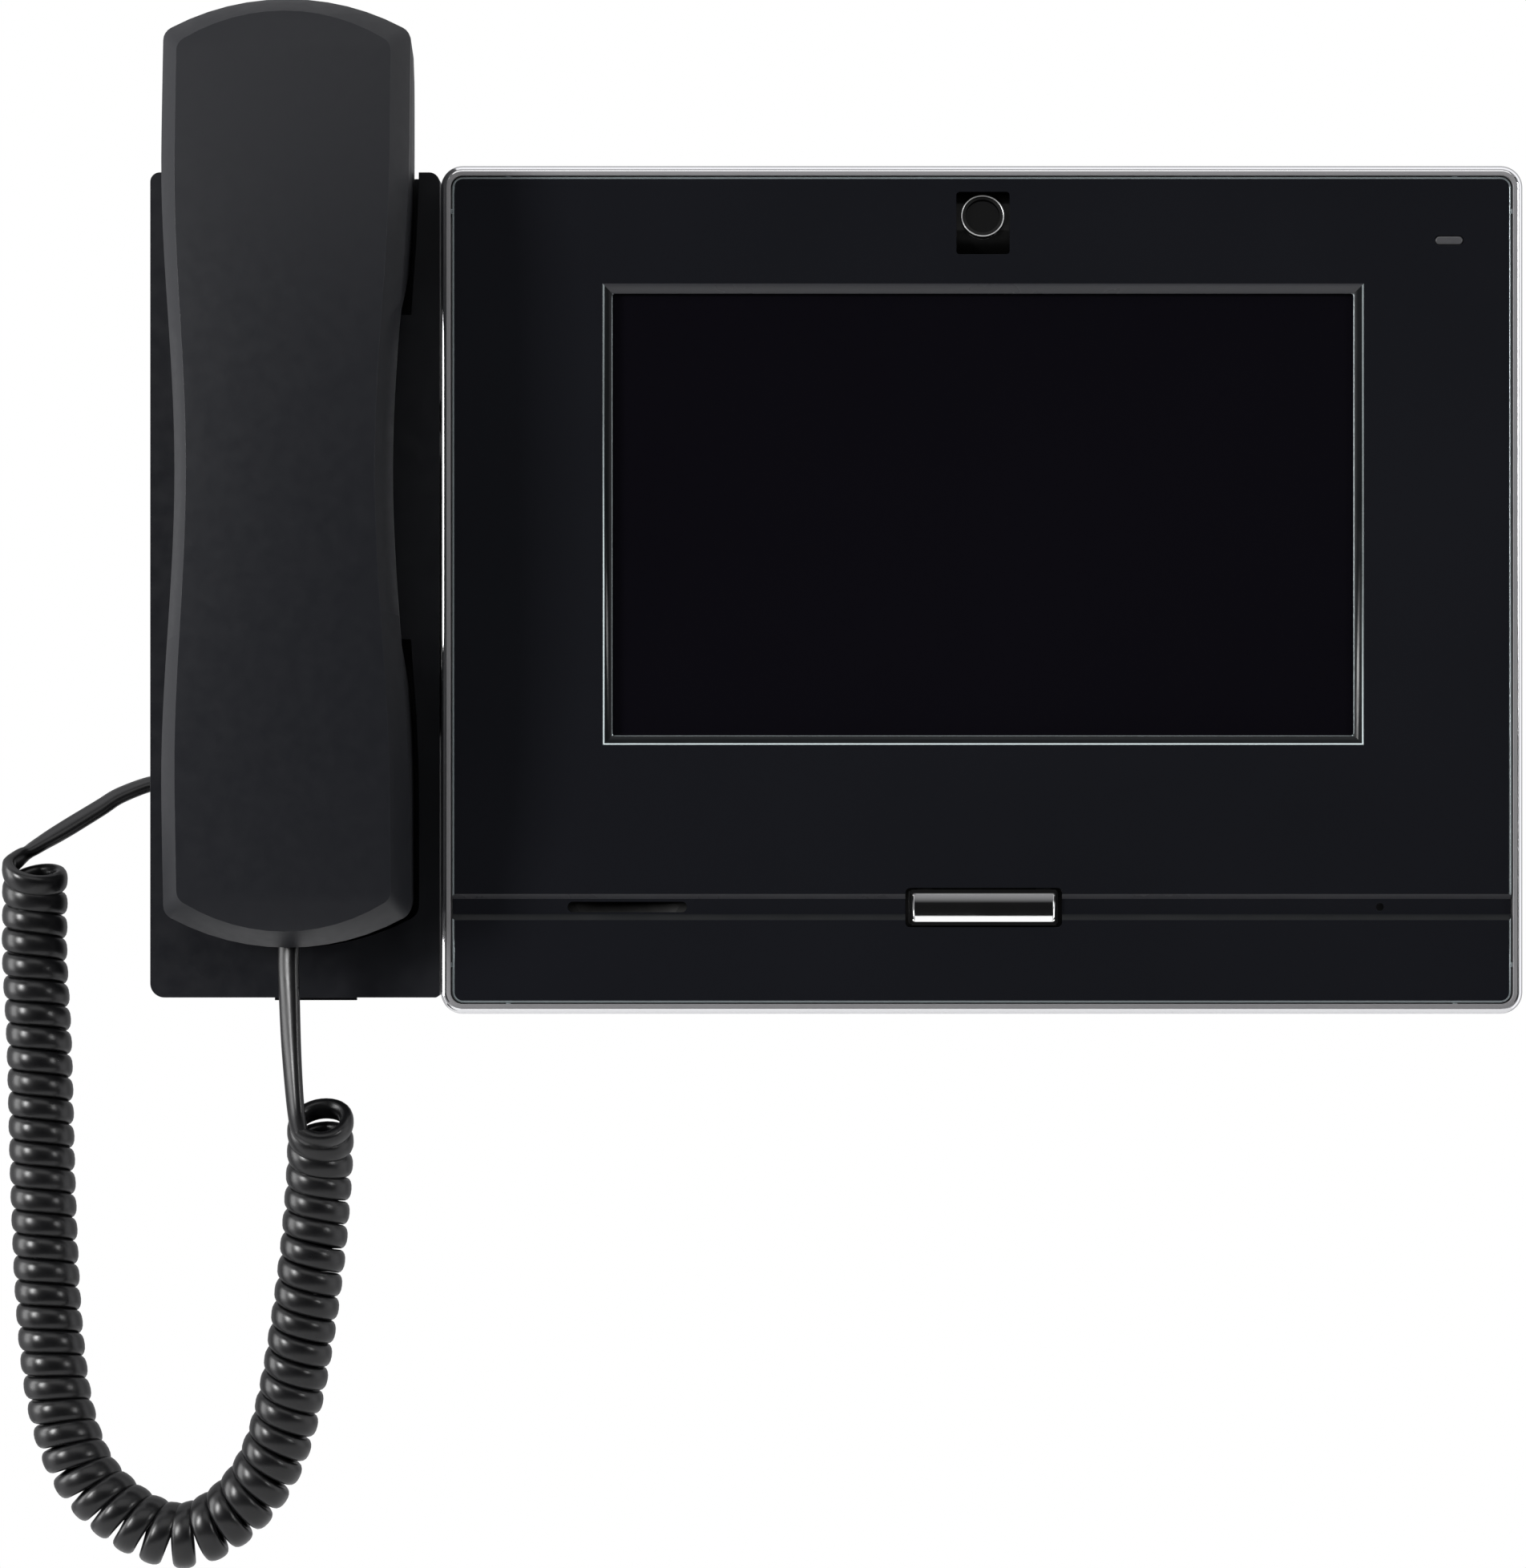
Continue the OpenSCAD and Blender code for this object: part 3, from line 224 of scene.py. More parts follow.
def only(piece):
    """Selects this one piece and makes it the active one."""
    bpy.ops.object.select_all(action="DESELECT")
    piece.select_set(True)
    bpy.context.view_layer.objects.active = piece


def face_outward(piece):
    """Turns all of a closed piece's faces outward."""
    only(piece)
    bpy.ops.object.mode_set(mode="EDIT")
    bpy.ops.mesh.select_all(action="SELECT")
    bpy.ops.mesh.normals_make_consistent(inside=False)
    bpy.ops.object.mode_set(mode="OBJECT")


def smooth(piece, degrees):
    """Smooth shading, with edges sharper than that angle left sharp."""
    only(piece)
    bpy.ops.object.shade_smooth_by_angle(angle=math.radians(degrees))


def finish_of(name, colour, roughness, metallic=0.0, coat=0.0, specular=0.5):
    """A material with its plain values on the shader, and its node tree for what varies."""
    material = bpy.data.materials.new(name)
    material.use_nodes = True
    tree = material.node_tree
    shader = tree.nodes["Principled BSDF"]
    shader.inputs["Base Color"].default_value = (*colour, 1)
    shader.inputs["Roughness"].default_value = roughness
    shader.inputs["Metallic"].default_value = metallic
    shader.inputs["Coat Weight"].default_value = coat
    shader.inputs["Coat Roughness"].default_value = 0.12
    shader.inputs["Specular IOR Level"].default_value = specular
    return material, tree, shader


def noise_over(tree, scale, detail):
    """Noise fixed to the piece, as many waves to the metre as the scale says."""
    place = tree.nodes.new("ShaderNodeTexCoord")
    noise = tree.nodes.new("ShaderNodeTexNoise")
    noise.inputs["Scale"].default_value = scale
    noise.inputs["Detail"].default_value = detail
    tree.links.new(place.outputs["Object"], noise.inputs["Vector"])
    return noise.outputs["Fac"]


def vary(tree, target, scale, low, high):
    """Lets a value wander between two limits over the surface."""
    spread = tree.nodes.new("ShaderNodeMapRange")
    spread.inputs["From Min"].default_value = 0.3
    spread.inputs["From Max"].default_value = 0.7
    spread.inputs["To Min"].default_value = low
    spread.inputs["To Max"].default_value = high
    tree.links.new(noise_over(tree, scale, 3), spread.inputs["Value"])
    tree.links.new(spread.outputs["Result"], target)


def grain(tree, shader, scale, depth):
    """Fine relief in the surface, such as a moulded texture; depth in metres."""
    bump = tree.nodes.new("ShaderNodeBump")
    bump.inputs["Strength"].default_value = 1
    bump.inputs["Distance"].default_value = depth
    tree.links.new(noise_over(tree, scale, 4), bump.inputs["Height"])
    tree.links.new(bump.outputs["Normal"], shader.inputs["Normal"])


def tint(tree, shader, scale, dark, light, detail=3):
    """Lets the colour wander between two shades over the surface."""
    ramp = tree.nodes.new("ShaderNodeValToRGB")
    ramp.color_ramp.elements[0].position = 0.3
    ramp.color_ramp.elements[0].color = (*dark, 1)
    ramp.color_ramp.elements[1].position = 0.7
    ramp.color_ramp.elements[1].color = (*light, 1)
    tree.links.new(noise_over(tree, scale, detail), ramp.inputs["Fac"])
    tree.links.new(ramp.outputs["Color"], shader.inputs["Base Color"])


sheath, tree, shader = finish_of("cord_sheath", (0.0045, 0.0045, 0.005), 0.3)
vary(tree, shader.inputs["Roughness"], 260, 0.27, 0.34)
tint(tree, shader, 90, (0.0040, 0.0040, 0.0044), (0.0056, 0.0056, 0.0062))
grain(tree, shader, 900, 0.000008)

cord = cord_mesh(
    "handset_cord", cord_points, cord_facing,
    cord_section(18, cord_width / 2, cord_thickness / 2),
)
face_outward(cord)
smooth(cord, 60)
cord.data.materials.append(sheath)
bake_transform(cord)
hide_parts("cord_base_tail", "cord_curl", "cord_handset_tail")

# Front panel
# Sheet of black acrylic, back-painted and polished, with clear cut edges round its outline
# and its screen window. It sits in the silver frame on an adhesive shelf.
def clean_copy(node, name, flat_within=1):
    """A merged copy of a CAD node's mesh, with its flat faces whole again."""
    source = nodes[node]
    piece = bpy.data.objects.new(name, source.data.copy())
    bpy.context.scene.collection.objects.link(piece)
    piece.data.materials.clear()
    only(piece)
    bpy.ops.mesh.customdata_custom_splitnormals_clear()
    bpy.ops.object.mode_set(mode="EDIT")
    bpy.ops.mesh.select_all(action="SELECT")
    bpy.ops.mesh.remove_doubles(threshold=0.000005)
    bpy.ops.mesh.dissolve_limited(angle_limit=math.radians(flat_within))
    bpy.ops.mesh.select_all(action="DESELECT")
    bpy.ops.object.mode_set(mode="OBJECT")
    return piece


def bevel_where(piece, where, width, segments=1, material=-1, angle=25, clamp=True):
    """Bevels the sharp edges whose two ends lie where that test says."""
    only(piece)
    bpy.ops.object.mode_set(mode="EDIT")
    bpy.ops.mesh.select_mode(type="EDGE")
    bpy.ops.mesh.select_all(action="DESELECT")
    work = bmesh.from_edit_mesh(piece.data)
    for edge in work.edges:
        if len(edge.link_faces) == 2 and all(where(v.co / mm) for v in edge.verts):
            if edge.calc_face_angle() > math.radians(angle):
                edge.select = True
    bmesh.update_edit_mesh(piece.data)
    bpy.ops.mesh.bevel(
        offset=width * mm, segments=segments, affect="EDGES", material=material,
        clamp_overlap=clamp, loop_slide=True,
    )
    bpy.ops.mesh.select_all(action="DESELECT")
    bpy.ops.object.mode_set(mode="OBJECT")


def paint_where(piece, slot, where):
    """Gives the faces whose middle and direction pass the test another material slot."""
    for face in piece.data.polygons:
        if where(face.center / mm, face.normal):
            face.material_index = slot


def settle(piece, body, slot, *replaced, degrees=35, flat=True):
    """Shades the piece, flat faces left flat, and says what it rides on and stands for."""
    smooth(piece, degrees)
    if flat:
        weigh = piece.modifiers.new("weigh", "WEIGHTED_NORMAL")
        weigh.keep_sharp = True
        weigh.weight = 100
        bpy.ops.object.modifier_apply(modifier="weigh")
    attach(piece, body)
    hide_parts(*replaced)


acrylic, tree, shader = finish_of("panel_acrylic", (0.0089, 0.0094, 0.0119), 0.07)
vary(tree, shader.inputs["Roughness"], 30, 0.05, 0.09)
tint(tree, shader, 14, (0.0083, 0.0088, 0.0111), (0.0096, 0.0101, 0.0128))
clear_edge, tree, shader = finish_of("cut_edge", (0.82, 0.92, 0.94), 0.14, metallic=0.8)
vary(tree, shader.inputs["Roughness"], 140, 0.12, 0.24)
# a darker, barely reflecting copy of the panel acrylic for its sunken slopes: painted shade
painted_shade_acrylic, tree, shader = finish_of("sunken_slope_painted_shade", (0.007, 0.008, 0.009), 0.16, specular=0.2)
vary(tree, shader.inputs["Roughness"], 120, 0.16, 0.26)
panel = clean_copy("front_panel", "front_panel_sheet")
panel_x = 110.1
panel_z = 85.9
window_middle = 0.3
window_x = 77.15
window_z0 = -30.3
window_z1 = 61.7
window_reach = 2.5
window_core = 2.4
edge_bevel = 0.42
outer_line = 0.2
inner_line = 0.16
opening_edge = 0.1
slope_middle_y = -37.3
groove_upper = (-64.5, -62.5)
groove_lower = (-69.5, -67)


def at_panel_edge(p):
    outside = abs(p.x) > panel_x - 2.8 and abs(p.z) > panel_z - 2.8
    beside = abs(p.x) > panel_x - 0.1 or abs(p.z) > panel_z - 0.1
    return p.y < -37.9 and (outside or beside)


def at_window(p):
    aside = abs(p.x - window_middle)
    near_x = aside < window_x + window_reach
    near_z = window_z0 - window_reach < p.z < window_z1 + window_reach
    core_x = aside < window_x - window_core
    core_z = window_z0 + window_core < p.z < window_z1 - window_core
    return near_x and near_z and not (core_x and core_z) and p.y < -35.6


# a lighter grey for the down-facing slopes of the window and the groove: painted highlight
painted_highlight_acrylic, tree, shader = finish_of("down_slope_painted_highlight", (0.035, 0.0355, 0.040), 0.3)
vary(tree, shader.inputs["Roughness"], 120, 0.26, 0.34)
for material in (acrylic, clear_edge, painted_shade_acrylic, painted_highlight_acrylic):
    panel.data.materials.append(material)
# the window's sloped sides get the darker copy of the acrylic: painted shade
paint_where(panel, 2, lambda c, n: at_window(c) and -0.98 < n.y < -0.1)
bevel_where(panel, at_panel_edge, edge_bevel, 1, 1)
bevel_where(
    panel, lambda p: at_window(p) and p.y < slope_middle_y, outer_line, 1, 1, 12, clamp=False
)
bevel_where(
    panel, lambda p: at_window(p) and p.y > slope_middle_y, inner_line, 1, 1, 12, clamp=False
)
# the window's top slope gets the lighter grey: painted highlight
paint_where(
    panel, 3,
    lambda c, n: at_window(c) and c.z > window_z1 - window_core and n.z < -0.2 and n.y < -0.1,
)
bevel_where(
    panel, lambda p: p.y < -36.9 and not at_window(p) and not at_panel_edge(p), opening_edge, 2
)
# the groove's upward-facing lower slope gets the darker copy of the acrylic: painted shade
paint_where(
    panel, 2,
    lambda c, n: groove_lower[0] < c.z < groove_lower[1] and c.y < -36.5 and n.z > 0.2,
)
# the groove's down-facing upper slope gets the lighter grey: painted highlight
paint_where(
    panel, 3,
    lambda c, n: groove_upper[0] < c.z < groove_upper[1] and c.y < -36.5 and -0.95 < n.z < -0.2,
)
paint_where(
    panel, 1, lambda c, n: c.y < -36 and (abs(c.x) > panel_x + 0.05 or abs(c.z) > panel_z + 0.05)
)
settle(panel, "station", "black_acrylic", "front_panel")

# Silver frame
# Cast frame with a polished outer bevel and a satin front face; the front panel is let into
# it, so that a narrow gap shows all round.
frame_copy = clean_copy("bezel_frame", "silver_frame_ring")
polished, tree, shader = finish_of("polished_bevel", (0.9, 0.9, 0.915), 0.14, metallic=1.0)
vary(tree, shader.inputs["Roughness"], 60, 0.11, 0.18)
satin, tree, shader = finish_of("satin_silver", (0.25, 0.247, 0.254), 0.5, metallic=0.25)
vary(tree, shader.inputs["Roughness"], 180, 0.45, 0.56)
grain(tree, shader, 1600, 0.000015)
for material in (satin, polished):
    frame_copy.data.materials.append(material)
frame_width = 225
frame_height = 176.4
corner_radius = 4.5
frame_cut = -36.6
frame_steps = [
    (0, 0.65), (0.1, 0.4), (0.35, 0.5), (0.4, 0.3), (0.35, 0.15), (0.75, 0), (0.1, -0.1), (0, -1.9),
]
paint_where(
    frame_copy, 1,
    lambda c, n: abs(c.x) > frame_width / 2 - 0.2 or abs(c.z) > frame_height / 2 - 0.2,
)

# the CAD's front edge is cut off, for a front with a finer profile
bpy.ops.object.select_all(action="DESELECT")
bpy.ops.mesh.primitive_cube_add(size=1, location=(0, (frame_cut - 5) * mm, 0), scale=(0.3, 0.01, 0.3))
cutter = bpy.context.object
only(frame_copy)
cut = frame_copy.modifiers.new("cut", "BOOLEAN")
cut.operation = "DIFFERENCE"
cut.solver = "EXACT"
cut.object = cutter
bpy.ops.object.modifier_apply(modifier="cut")
bpy.data.objects.remove(cutter)

# the front of the frame: a rounded plate whose front is stepped inwards and then opened
bpy.ops.object.select_all(action="DESELECT")
bpy.ops.mesh.primitive_plane_add(size=1, rotation=(math.pi / 2, 0, 0), location=(0, frame_cut * mm, 0))
frame_front = bpy.context.object
frame_front.name = "silver_frame_front"
frame_front.scale = (frame_width * mm, frame_height * mm, 1)
bpy.ops.object.transform_apply(location=True, rotation=True, scale=True)
bpy.ops.object.mode_set(mode="EDIT")
bpy.ops.mesh.select_all(action="SELECT")
bpy.ops.mesh.bevel(offset=corner_radius * mm, segments=12, affect="VERTICES")
bpy.ops.mesh.select_mode(type="FACE")
for inward, forward in frame_steps:
    if inward == 0:
        bpy.ops.mesh.extrude_region_move(TRANSFORM_OT_translate={"value": (0, -forward * mm, 0)})
    else:
        bpy.ops.mesh.inset(thickness=inward * mm, depth=forward * mm, use_even_offset=True)
work = bmesh.from_edit_mesh(frame_front.data)
for face in work.faces:
    face.select = len(face.verts) > 4
bmesh.update_edit_mesh(frame_front.data)
bpy.ops.mesh.delete(type="ONLY_FACE")
bpy.ops.mesh.select_mode(type="EDGE")
bpy.ops.mesh.select_all(action="DESELECT")
bpy.ops.mesh.select_non_manifold()
bpy.ops.mesh.bridge_edge_loops()
bpy.ops.mesh.select_all(action="SELECT")
bpy.ops.mesh.normals_make_consistent(inside=False)
bpy.ops.object.mode_set(mode="OBJECT")
for material in (satin, polished):
    frame_front.data.materials.append(material)
paint_where(
    frame_front, 1,
    lambda c, n: n.y > -0.97
    and (abs(c.x) > frame_width / 2 - 1.7 or abs(c.z) > frame_height / 2 - 1.7),
)
only(frame_front)
frame_copy.select_set(True)
bpy.context.view_layer.objects.active = frame_copy
bpy.ops.object.join()
settle(frame_copy, "station", "silver_frame", "bezel_frame", degrees=28)

# Screen
# Touch glass behind the front panel's window, with the dark display bonded to its back; both
# are shown switched off.
glass, tree, shader = finish_of("screen_glass", (0.0034, 0.0030, 0.0048), 0.05, coat=0.5)
vary(tree, shader.inputs["Roughness"], 25, 0.04, 0.08)
tint(tree, shader, 9, (0.0031, 0.0027, 0.0044), (0.0038, 0.0034, 0.0054))


def dress(material, *names):
    """Gives CAD nodes that material in all their slots."""
    for name in names:
        for slot in nodes[name].material_slots:
            slot.material = material


dress(glass, "touch_glass", "lcd_panel")

# Camera
# A moulded black drum turns between two pins; its flat carries the lens in a thin turned
# metal ring, whose lip stands round the glass.
camera_black, tree, shader = finish_of("camera_black", (0.002, 0.002, 0.002), 0.5, specular=0.25)
vary(tree, shader.inputs["Roughness"], 160, 0.45, 0.56)
lens_black, tree, shader = finish_of("lens_black", (0.002, 0.002, 0.0022), 0.08, specular=0.08)
vary(tree, shader.inputs["Roughness"], 90, 0.05, 0.1)
# bright metal of the lens ring's lip, also put on the drum's lower edge as a painted highlight
ring_lip_metal_and_edge_highlight, tree, shader = finish_of("lens_lip_metal_and_drum_painted_highlight", (0.75, 0.75, 0.75), 0.35, metallic=0.8)
vary(tree, shader.inputs["Roughness"], 200, 0.22, 0.38)
lens_x = 0.25
lens_z = 77.9
drum = clean_copy("camera_drum", "camera_drum_body")
drum.data.materials.append(camera_black)
drum.data.materials.append(ring_lip_metal_and_edge_highlight)
# the black drum's lower flat edge gets the ring's bright metal: a painted highlight line
bevel_where(
    drum, lambda p: p.z < 76.5 and p.y < -35 and math.hypot(p.x - lens_x, p.z - lens_z) > 4.6,
    0.2, 2, 1, 15,
)
settle(drum, "camera", "camera_black", "camera_drum")
ring = clean_copy("lens_ring", "lens_ring_turned")
ring.data.materials.append(camera_black)
ring.data.materials.append(ring_lip_metal_and_edge_highlight)
lens_tilt = math.radians(12)
lip_radius = 4.37 * mm
lip_wire = 0.15 * mm
facing = Vector((0, -math.cos(lens_tilt), math.sin(lens_tilt)))
front = max(facing.dot(v.co) for v in ring.data.vertices)
rim = [v.co for v in ring.data.vertices if facing.dot(v.co) > front - 0.05 * mm]
bpy.ops.object.select_all(action="DESELECT")
bpy.ops.mesh.primitive_torus_add(
    major_radius=lip_radius, minor_radius=lip_wire, major_segments=96, minor_segments=12,
    location=sum(rim, Vector()) / len(rim), rotation=(math.pi / 2 - lens_tilt, 0, 0),
)
lip = bpy.context.object
bpy.ops.object.transform_apply(location=True, rotation=True, scale=True)
lip.data.materials.append(camera_black)
lip.data.materials.append(ring_lip_metal_and_edge_highlight)
paint_where(lip, 1, lambda c, n: True)
ring.select_set(True)
bpy.context.view_layer.objects.active = ring
bpy.ops.object.join()
settle(ring, "camera", "lens_ring_metal", "lens_ring")
dress(lens_black, "camera_lens")
dress(camera_black, "camera_yoke", "button_guide", "mic_boot")

# Status lamp
# Small light pipe of smoky grey acrylic with rounded edges; it fills its slot in the panel
# and sits in front of a small lamp board.
lamp_grey, tree, shader = finish_of("lamp_grey", (0.07, 0.07, 0.075), 0.35, coat=0.3)
tint(tree, shader, 300, (0.062, 0.062, 0.066), (0.078, 0.078, 0.083))
lamp = clean_copy("led_lens", "status_lamp")
lamp.data.materials.append(lamp_grey)
bevel_where(lamp, lambda p: p.y < -36.5, 0.35, 3)
settle(lamp, "station", "lamp_lens", "led_lens")

# Talk button
# Chromed plastic bar, hollowed along its length, that slides in a guide behind the panel and
# is pressed in against two springs.
chrome, tree, shader = finish_of("chrome", (0.93, 0.93, 0.93), 0.07, metallic=1.0)
vary(tree, shader.inputs["Roughness"], 80, 0.05, 0.1)
button = clean_copy("talk_button", "talk_button_bar")
button.data.materials.append(chrome)
bevel_where(button, lambda p: p.y < -35.6, 0.45, 2, -1, 20, clamp=False)
settle(button, "talk_button", "button_chrome", "talk_button")

# Handset
# Two moulded shells screwed together: a satin front with a bevel all round its face, and a
# back with the ear cup, the grip and the mouth cup. Both carry a very fine spark texture.
shell_black, tree, shader = finish_of("handset_satin", (0.0100, 0.0106, 0.0134), 0.38, specular=0.32)
vary(tree, shader.inputs["Roughness"], 350, 0.37, 0.43)
tint(tree, shader, 500, (0.0096, 0.0102, 0.0129), (0.0104, 0.0111, 0.0139), 5)
grain(tree, shader, 2600, 0.000008)
# the ridge round the handset's face: glossier than the shell, and twice as light in colour as a painted
# highlight line
ridge_gloss_and_highlight, tree, shader = finish_of("handset_ridge_gloss_and_painted_highlight", (0.02, 0.021, 0.025), 0.22)
vary(tree, shader.inputs["Roughness"], 350, 0.22, 0.27)
back_black, tree, shader = finish_of("handset_back_satin", (0.0090, 0.0095, 0.0118), 0.45, specular=0.45)
vary(tree, shader.inputs["Roughness"], 350, 0.41, 0.5)
tint(tree, shader, 400, (0.0085, 0.0090, 0.0112), (0.0095, 0.0100, 0.0124), 5)
grain(tree, shader, 2600, 0.00001)
front_shell = clean_copy("handset_front", "handset_front_shell", 0.02)
front_shell.data.materials.append(shell_black)
front_shell.data.materials.append(ridge_gloss_and_highlight)
bevel_where(front_shell, lambda p: p.y > -47, 0.45, 3, -1, 22)
# the front ridge's bevel takes the glossier, lighter ridge finish: painted highlight
bevel_where(front_shell, lambda p: p.y < -46.5, 0.28, 3, 1, 22)
settle(front_shell, "handset", "handset_front_black", "handset_front", degrees=40, flat=False)
back_shell = clean_copy("handset_back", "handset_back_shell", 0.02)
back_shell.data.materials.append(back_black)
bevel_where(back_shell, lambda p: True, 0.4, 2, -1, 28)
settle(back_shell, "handset", "handset_back_black", "handset_back", degrees=40, flat=False)

# Cradle
# Satin black moulding with two pockets for the handset's cups, screwed to its back plate
# and to the side of the main unit.
cradle_black, tree, shader = finish_of("cradle_satin", (0.0095, 0.0100, 0.0125), 0.36, specular=0.35)
vary(tree, shader.inputs["Roughness"], 300, 0.32, 0.42)
tint(tree, shader, 350, (0.0091, 0.0096, 0.0120), (0.0099, 0.0104, 0.0130), 5)
grain(tree, shader, 2400, 0.00001)
cradle = clean_copy("cradle_shell", "cradle_moulding")
cradle.data.materials.append(cradle_black)
bevel_where(cradle, lambda p: True, 0.5, 3, -1, 28)
settle(cradle, "station", "cradle_black", "cradle_shell")
dress(cradle_black, "cradle_back")

# Housing and wall side
# Moulded grey-black rear cover, the pressed and zinc-plated wall plate, and what shows in the
# cable well, all of them with their own plastic, metal or board finish.
housing, tree, shader = finish_of("housing_black", (0.03, 0.031, 0.034), 0.5)
vary(tree, shader.inputs["Roughness"], 300, 0.45, 0.56)
tint(tree, shader, 260, (0.027, 0.028, 0.031), (0.034, 0.035, 0.038), 5)
grain(tree, shader, 1800, 0.00005)
dress(
    housing, "rear_cover", "hook_plunger", "base_socket", "handset_socket", "speaker_basket",
    "speaker_gasket", "ear_gasket", "handset_mic_boot", "screen_gasket",
)
plated, tree, shader = finish_of("zinc_plate", (0.52, 0.53, 0.54), 0.36, metallic=1.0)
vary(tree, shader.inputs["Roughness"], 60, 0.3, 0.44)
tint(tree, shader, 90, (0.46, 0.47, 0.49), (0.58, 0.59, 0.58), 5)
dress(plated, "wall_plate", "screen_bracket", "side_bracket", "processor_shield")
zinc, tree, shader = finish_of("screw_zinc", (0.60, 0.60, 0.61), 0.3, metallic=1.0)
vary(tree, shader.inputs["Roughness"], 120, 0.24, 0.38)
dress(
    zinc, "case_screws", "inner_screws", "side_screws", "cradle_screws", "handset_screws",
    "hook_spring", "mic_capsule", "handset_mic",
)
cone, tree, shader = finish_of("speaker_cone_paper", (0.02, 0.02, 0.02), 0.8)
tint(tree, shader, 600, (0.016, 0.016, 0.016), (0.026, 0.026, 0.026), 5)
grain(tree, shader, 1500, 0.00008)
dress(cone, "speaker_cone")
board, tree, shader = finish_of("board_green", (0.012, 0.07, 0.03), 0.35, coat=0.3)
tint(tree, shader, 160, (0.010, 0.060, 0.026), (0.015, 0.082, 0.036), 6)
dress(board, "main_board", "button_board", "hook_board", "led_board", "camera_module")
clear_plug, tree, shader = finish_of("plug_clear", (0.55, 0.56, 0.56), 0.15, coat=0.4)
tint(tree, shader, 300, (0.50, 0.51, 0.51), (0.60, 0.61, 0.61))
dress(clear_plug, "base_cord_plug", "handset_cord_plug")
terminal, tree, shader = finish_of("terminal_green", (0.02, 0.16, 0.06), 0.4)
tint(tree, shader, 200, (0.018, 0.145, 0.054), (0.023, 0.18, 0.068), 4)
dress(terminal, "terminal_block")
magnet, tree, shader = finish_of("magnet_steel", (0.35, 0.35, 0.36), 0.3, metallic=1.0)
vary(tree, shader.inputs["Roughness"], 100, 0.25, 0.4)
dress(
    magnet, "speaker_magnet", "lan_socket", "handset_weight", "ear_capsule", "backlight_tray",
)
link, tree, shader = finish_of("link_sheath", (0.22, 0.22, 0.225), 0.45)
tint(tree, shader, 200, (0.20, 0.20, 0.205), (0.24, 0.24, 0.245), 4)
dress(link, "link_cable")
inner, tree, shader = finish_of("inner_plastic", (0.03, 0.03, 0.032), 0.4)
vary(tree, shader.inputs["Roughness"], 150, 0.35, 0.46)
dress(inner, "tact_switch", "hook_switch", "lcd_ribbon")

# Talk button springs
# Two coils of round spring wire, set between the button's back and its board, push it out.
spring_steel, tree, shader = finish_of("spring_steel", (0.55, 0.55, 0.56), 0.28, metallic=1.0)
vary(tree, shader.inputs["Roughness"], 260, 0.22, 0.36)
wire_radius = 0.2 * mm
coil_turns = 6
coil_steps = 20
wire_section = cord_section(10, wire_radius, wire_radius, 2)
spring_ends = [v.co for v in nodes["button_springs"].data.vertices]
spring_middle = sum(p.x for p in spring_ends) / len(spring_ends)
coils = []
for side in (-1, 1):
    ends = [p for p in spring_ends if (p.x - spring_middle) * side > 0]
    low = [min(p[k] for p in ends) for k in range(3)]
    high = [max(p[k] for p in ends) for k in range(3)]
    middle_x = (low[0] + high[0]) / 2
    middle_z = (low[2] + high[2]) / 2
    coil_radius = (high[0] - low[0]) / 2 - wire_radius
    coil_length = high[1] - low[1] - 2 * wire_radius
    coil_points = []
    coil_facing = []
    for k in range(coil_turns * coil_steps + 1):
        turned = 2 * math.pi * k / coil_steps
        outward = Vector((math.cos(turned), 0, math.sin(turned)))
        along = low[1] + wire_radius + coil_length * k / (coil_turns * coil_steps)
        coil_points.append(Vector((middle_x, along, middle_z)) + outward * coil_radius)
        coil_facing.append(outward)
    coils.append(cord_mesh("button_spring_coils", coil_points, coil_facing, wire_section))
only(coils[0])
coils[1].select_set(True)
bpy.ops.object.join()
springs = coils[0]
face_outward(springs)
springs.data.materials.append(spring_steel)
smooth(springs, 50)
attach(springs, "station")
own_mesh(springs)
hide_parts("button_springs")

# Studio
# A small pale floor under the unit, in a white room. What the unit mirrors is dark in front
# of it and behind it, and bright at both sides, above and below. A wide lamp stands high in
# front, and two soft ones to the sides, the left one brighter.
bpy.ops.mesh.primitive_cylinder_add(
    vertices=128, radius=0.3, depth=0.01, location=(-0.04, 0, -0.2854)
)
floor = bpy.context.object
floor.name = "floor"
paper, tree, shader = finish_of("floor_paper", (0.8, 0.8, 0.8), 0.7)
floor.data.materials.append(paper)

world = bpy.data.worlds.new("room")
bpy.context.scene.world = world
world.use_nodes = True
tree = world.node_tree
background = tree.nodes["Background"]
place = tree.nodes.new("ShaderNodeTexCoord")
split = tree.nodes.new("ShaderNodeSeparateXYZ")
tree.links.new(place.outputs["Generated"], split.inputs["Vector"])


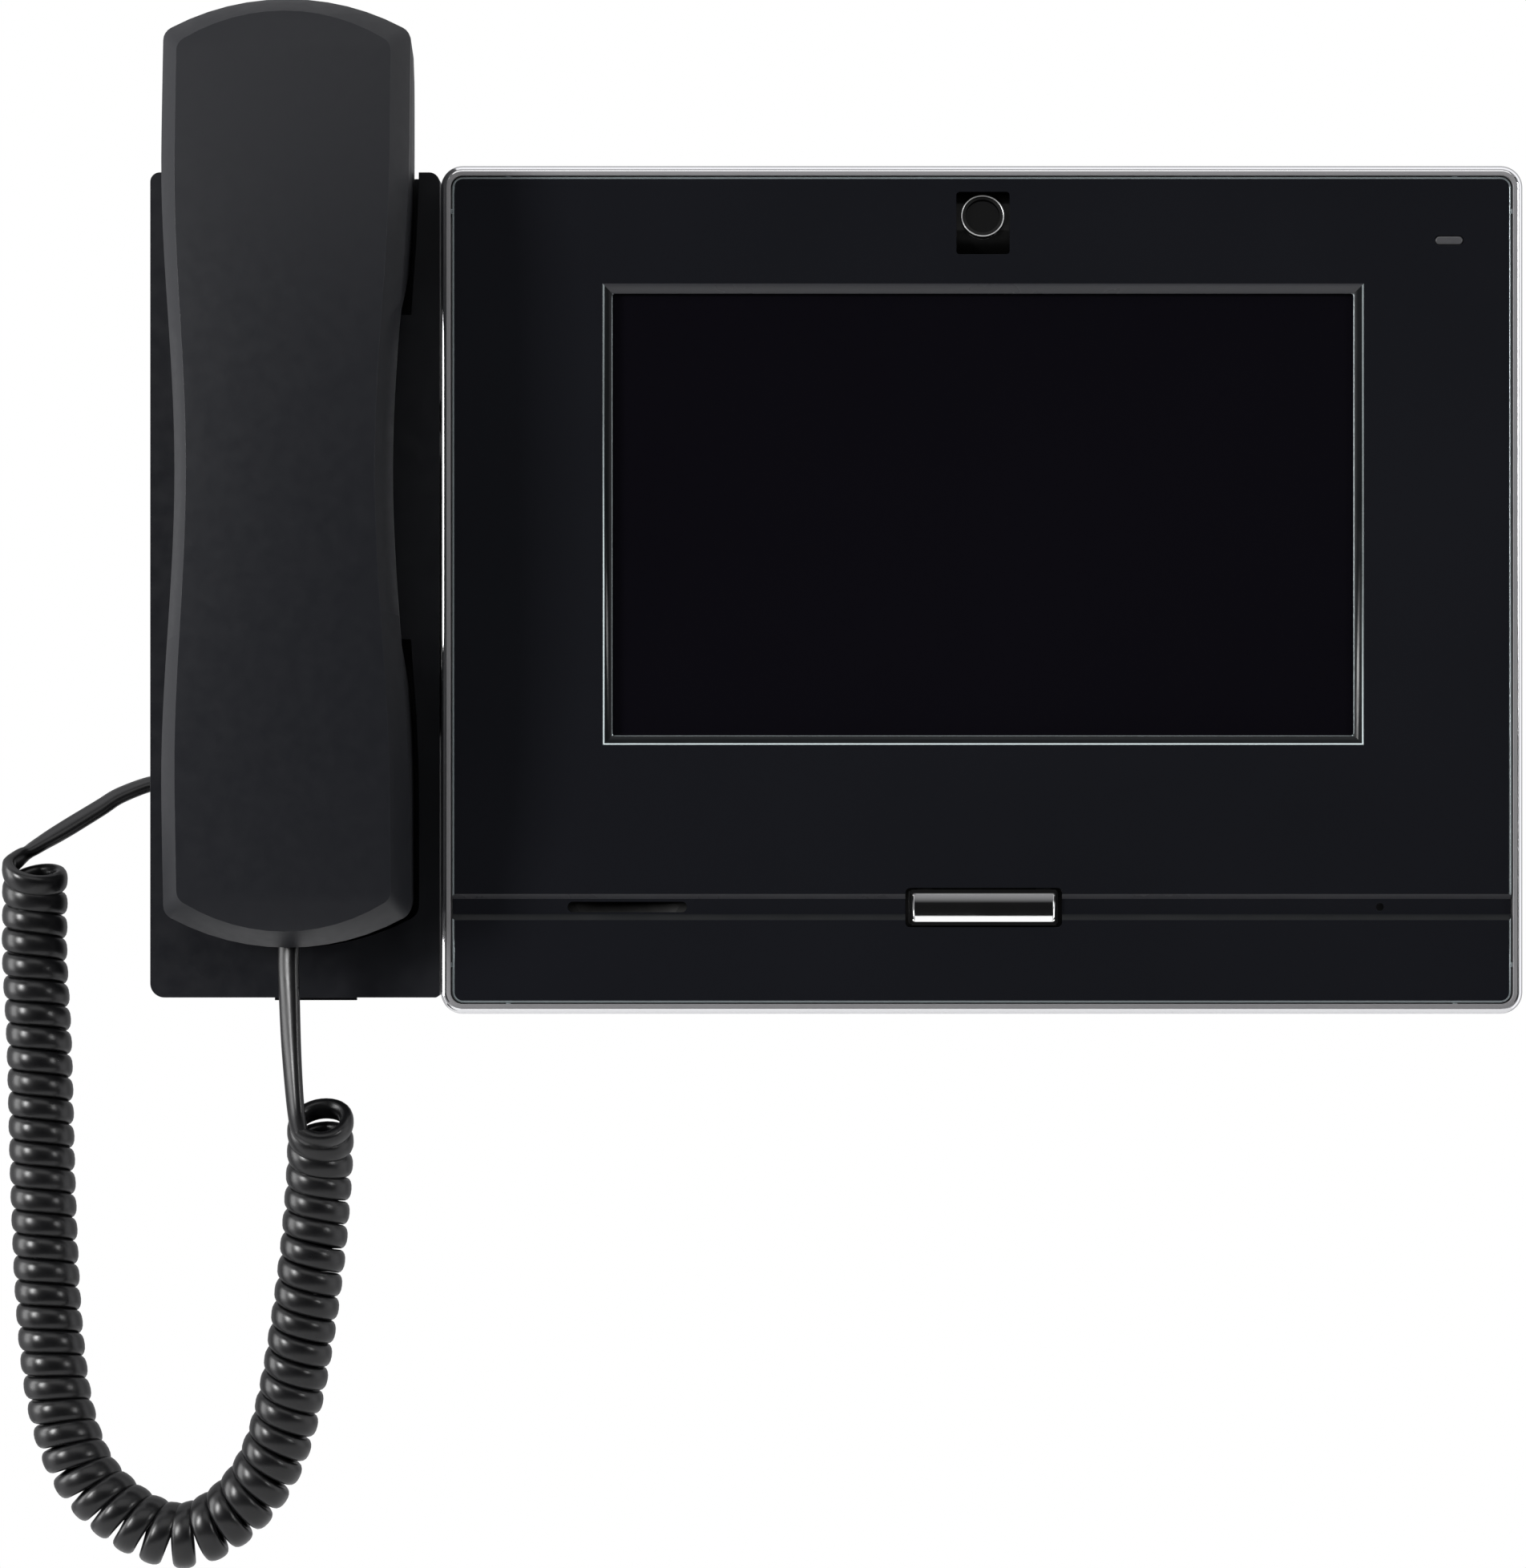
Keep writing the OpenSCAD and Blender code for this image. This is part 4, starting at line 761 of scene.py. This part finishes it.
def shade_along(axis, steps):
    """A grey that changes with the direction's part along one axis, from -1 to 1."""
    spread = tree.nodes.new("ShaderNodeMath")
    spread.operation = "MULTIPLY_ADD"
    spread.inputs[1].default_value = 0.5
    spread.inputs[2].default_value = 0.5
    ramp = tree.nodes.new("ShaderNodeValToRGB")
    colours = ramp.color_ramp
    for k, (at, grey) in enumerate(steps):
        if k < 2:
            step = colours.elements[k]
            step.position = (at + 1) / 2
        else:
            step = colours.elements.new((at + 1) / 2)
        step.color = (grey, grey, grey * 1.02, 1)
    tree.links.new(split.outputs[axis], spread.inputs[0])
    tree.links.new(spread.outputs["Value"], ramp.inputs["Fac"])
    return ramp.outputs["Color"]


front_to_back = shade_along("Y", [
    (-1, 0.008), (1, 0.42), (-0.62, 0.015), (-0.38, 0.16), (-0.2, 1.0), (0.25, 1.0), (0.5, 0.42),
])
below = shade_along("Z", [(-1, 0.5), (1, 0), (-0.42, 0.15), (-0.26, 0)])
both = tree.nodes.new("ShaderNodeMix")
both.data_type = "RGBA"
both.blend_type = "LIGHTEN"
both.inputs["Factor"].default_value = 1
tree.links.new(front_to_back, both.inputs["A"])
tree.links.new(below, both.inputs["B"])
seen = tree.nodes.new("ShaderNodeLightPath")
pick = tree.nodes.new("ShaderNodeMix")
pick.data_type = "RGBA"
pick.inputs["B"].default_value = (1, 1, 1, 1)
tree.links.new(both.outputs["Result"], pick.inputs["A"])
tree.links.new(seen.outputs["Is Camera Ray"], pick.inputs["Factor"])
tree.links.new(pick.outputs["Result"], background.inputs["Color"])


def soft_lamp(name, place, aim, size, power):
    bpy.ops.object.light_add(type="AREA", location=place)
    lamp = bpy.context.object
    lamp.name = name
    lamp.data.shape = "RECTANGLE"
    lamp.data.size = size[0]
    lamp.data.size_y = size[1]
    lamp.data.energy = power
    lamp.rotation_euler = (Vector(aim) - Vector(place)).to_track_quat("-Z", "Y").to_euler()
    return lamp


soft_lamp("left_lamp", (-1.25, -0.95, 0.3), (-0.05, 0, -0.05), (0.3, 0.55), 17)
soft_lamp("right_lamp", (1.15, -1.0, 0.25), (-0.05, 0, -0.05), (0.25, 0.4), 4)
soft_lamp("high_lamp", (0, -0.95, 0.74), (0, 0, -0.06), (1.3, 0.75), 3.2)
soft_lamp("side_lamp", (-1.4, -0.12, 0.1), (-0.14, -0.03, 0.05), (0.5, 0.9), 7)
fill = soft_lamp("front_fill", (-0.45, -1.6, 0.45), (-0.05, 0, -0.03), (0.9, 0.9), 5)
fill.visible_glossy = False
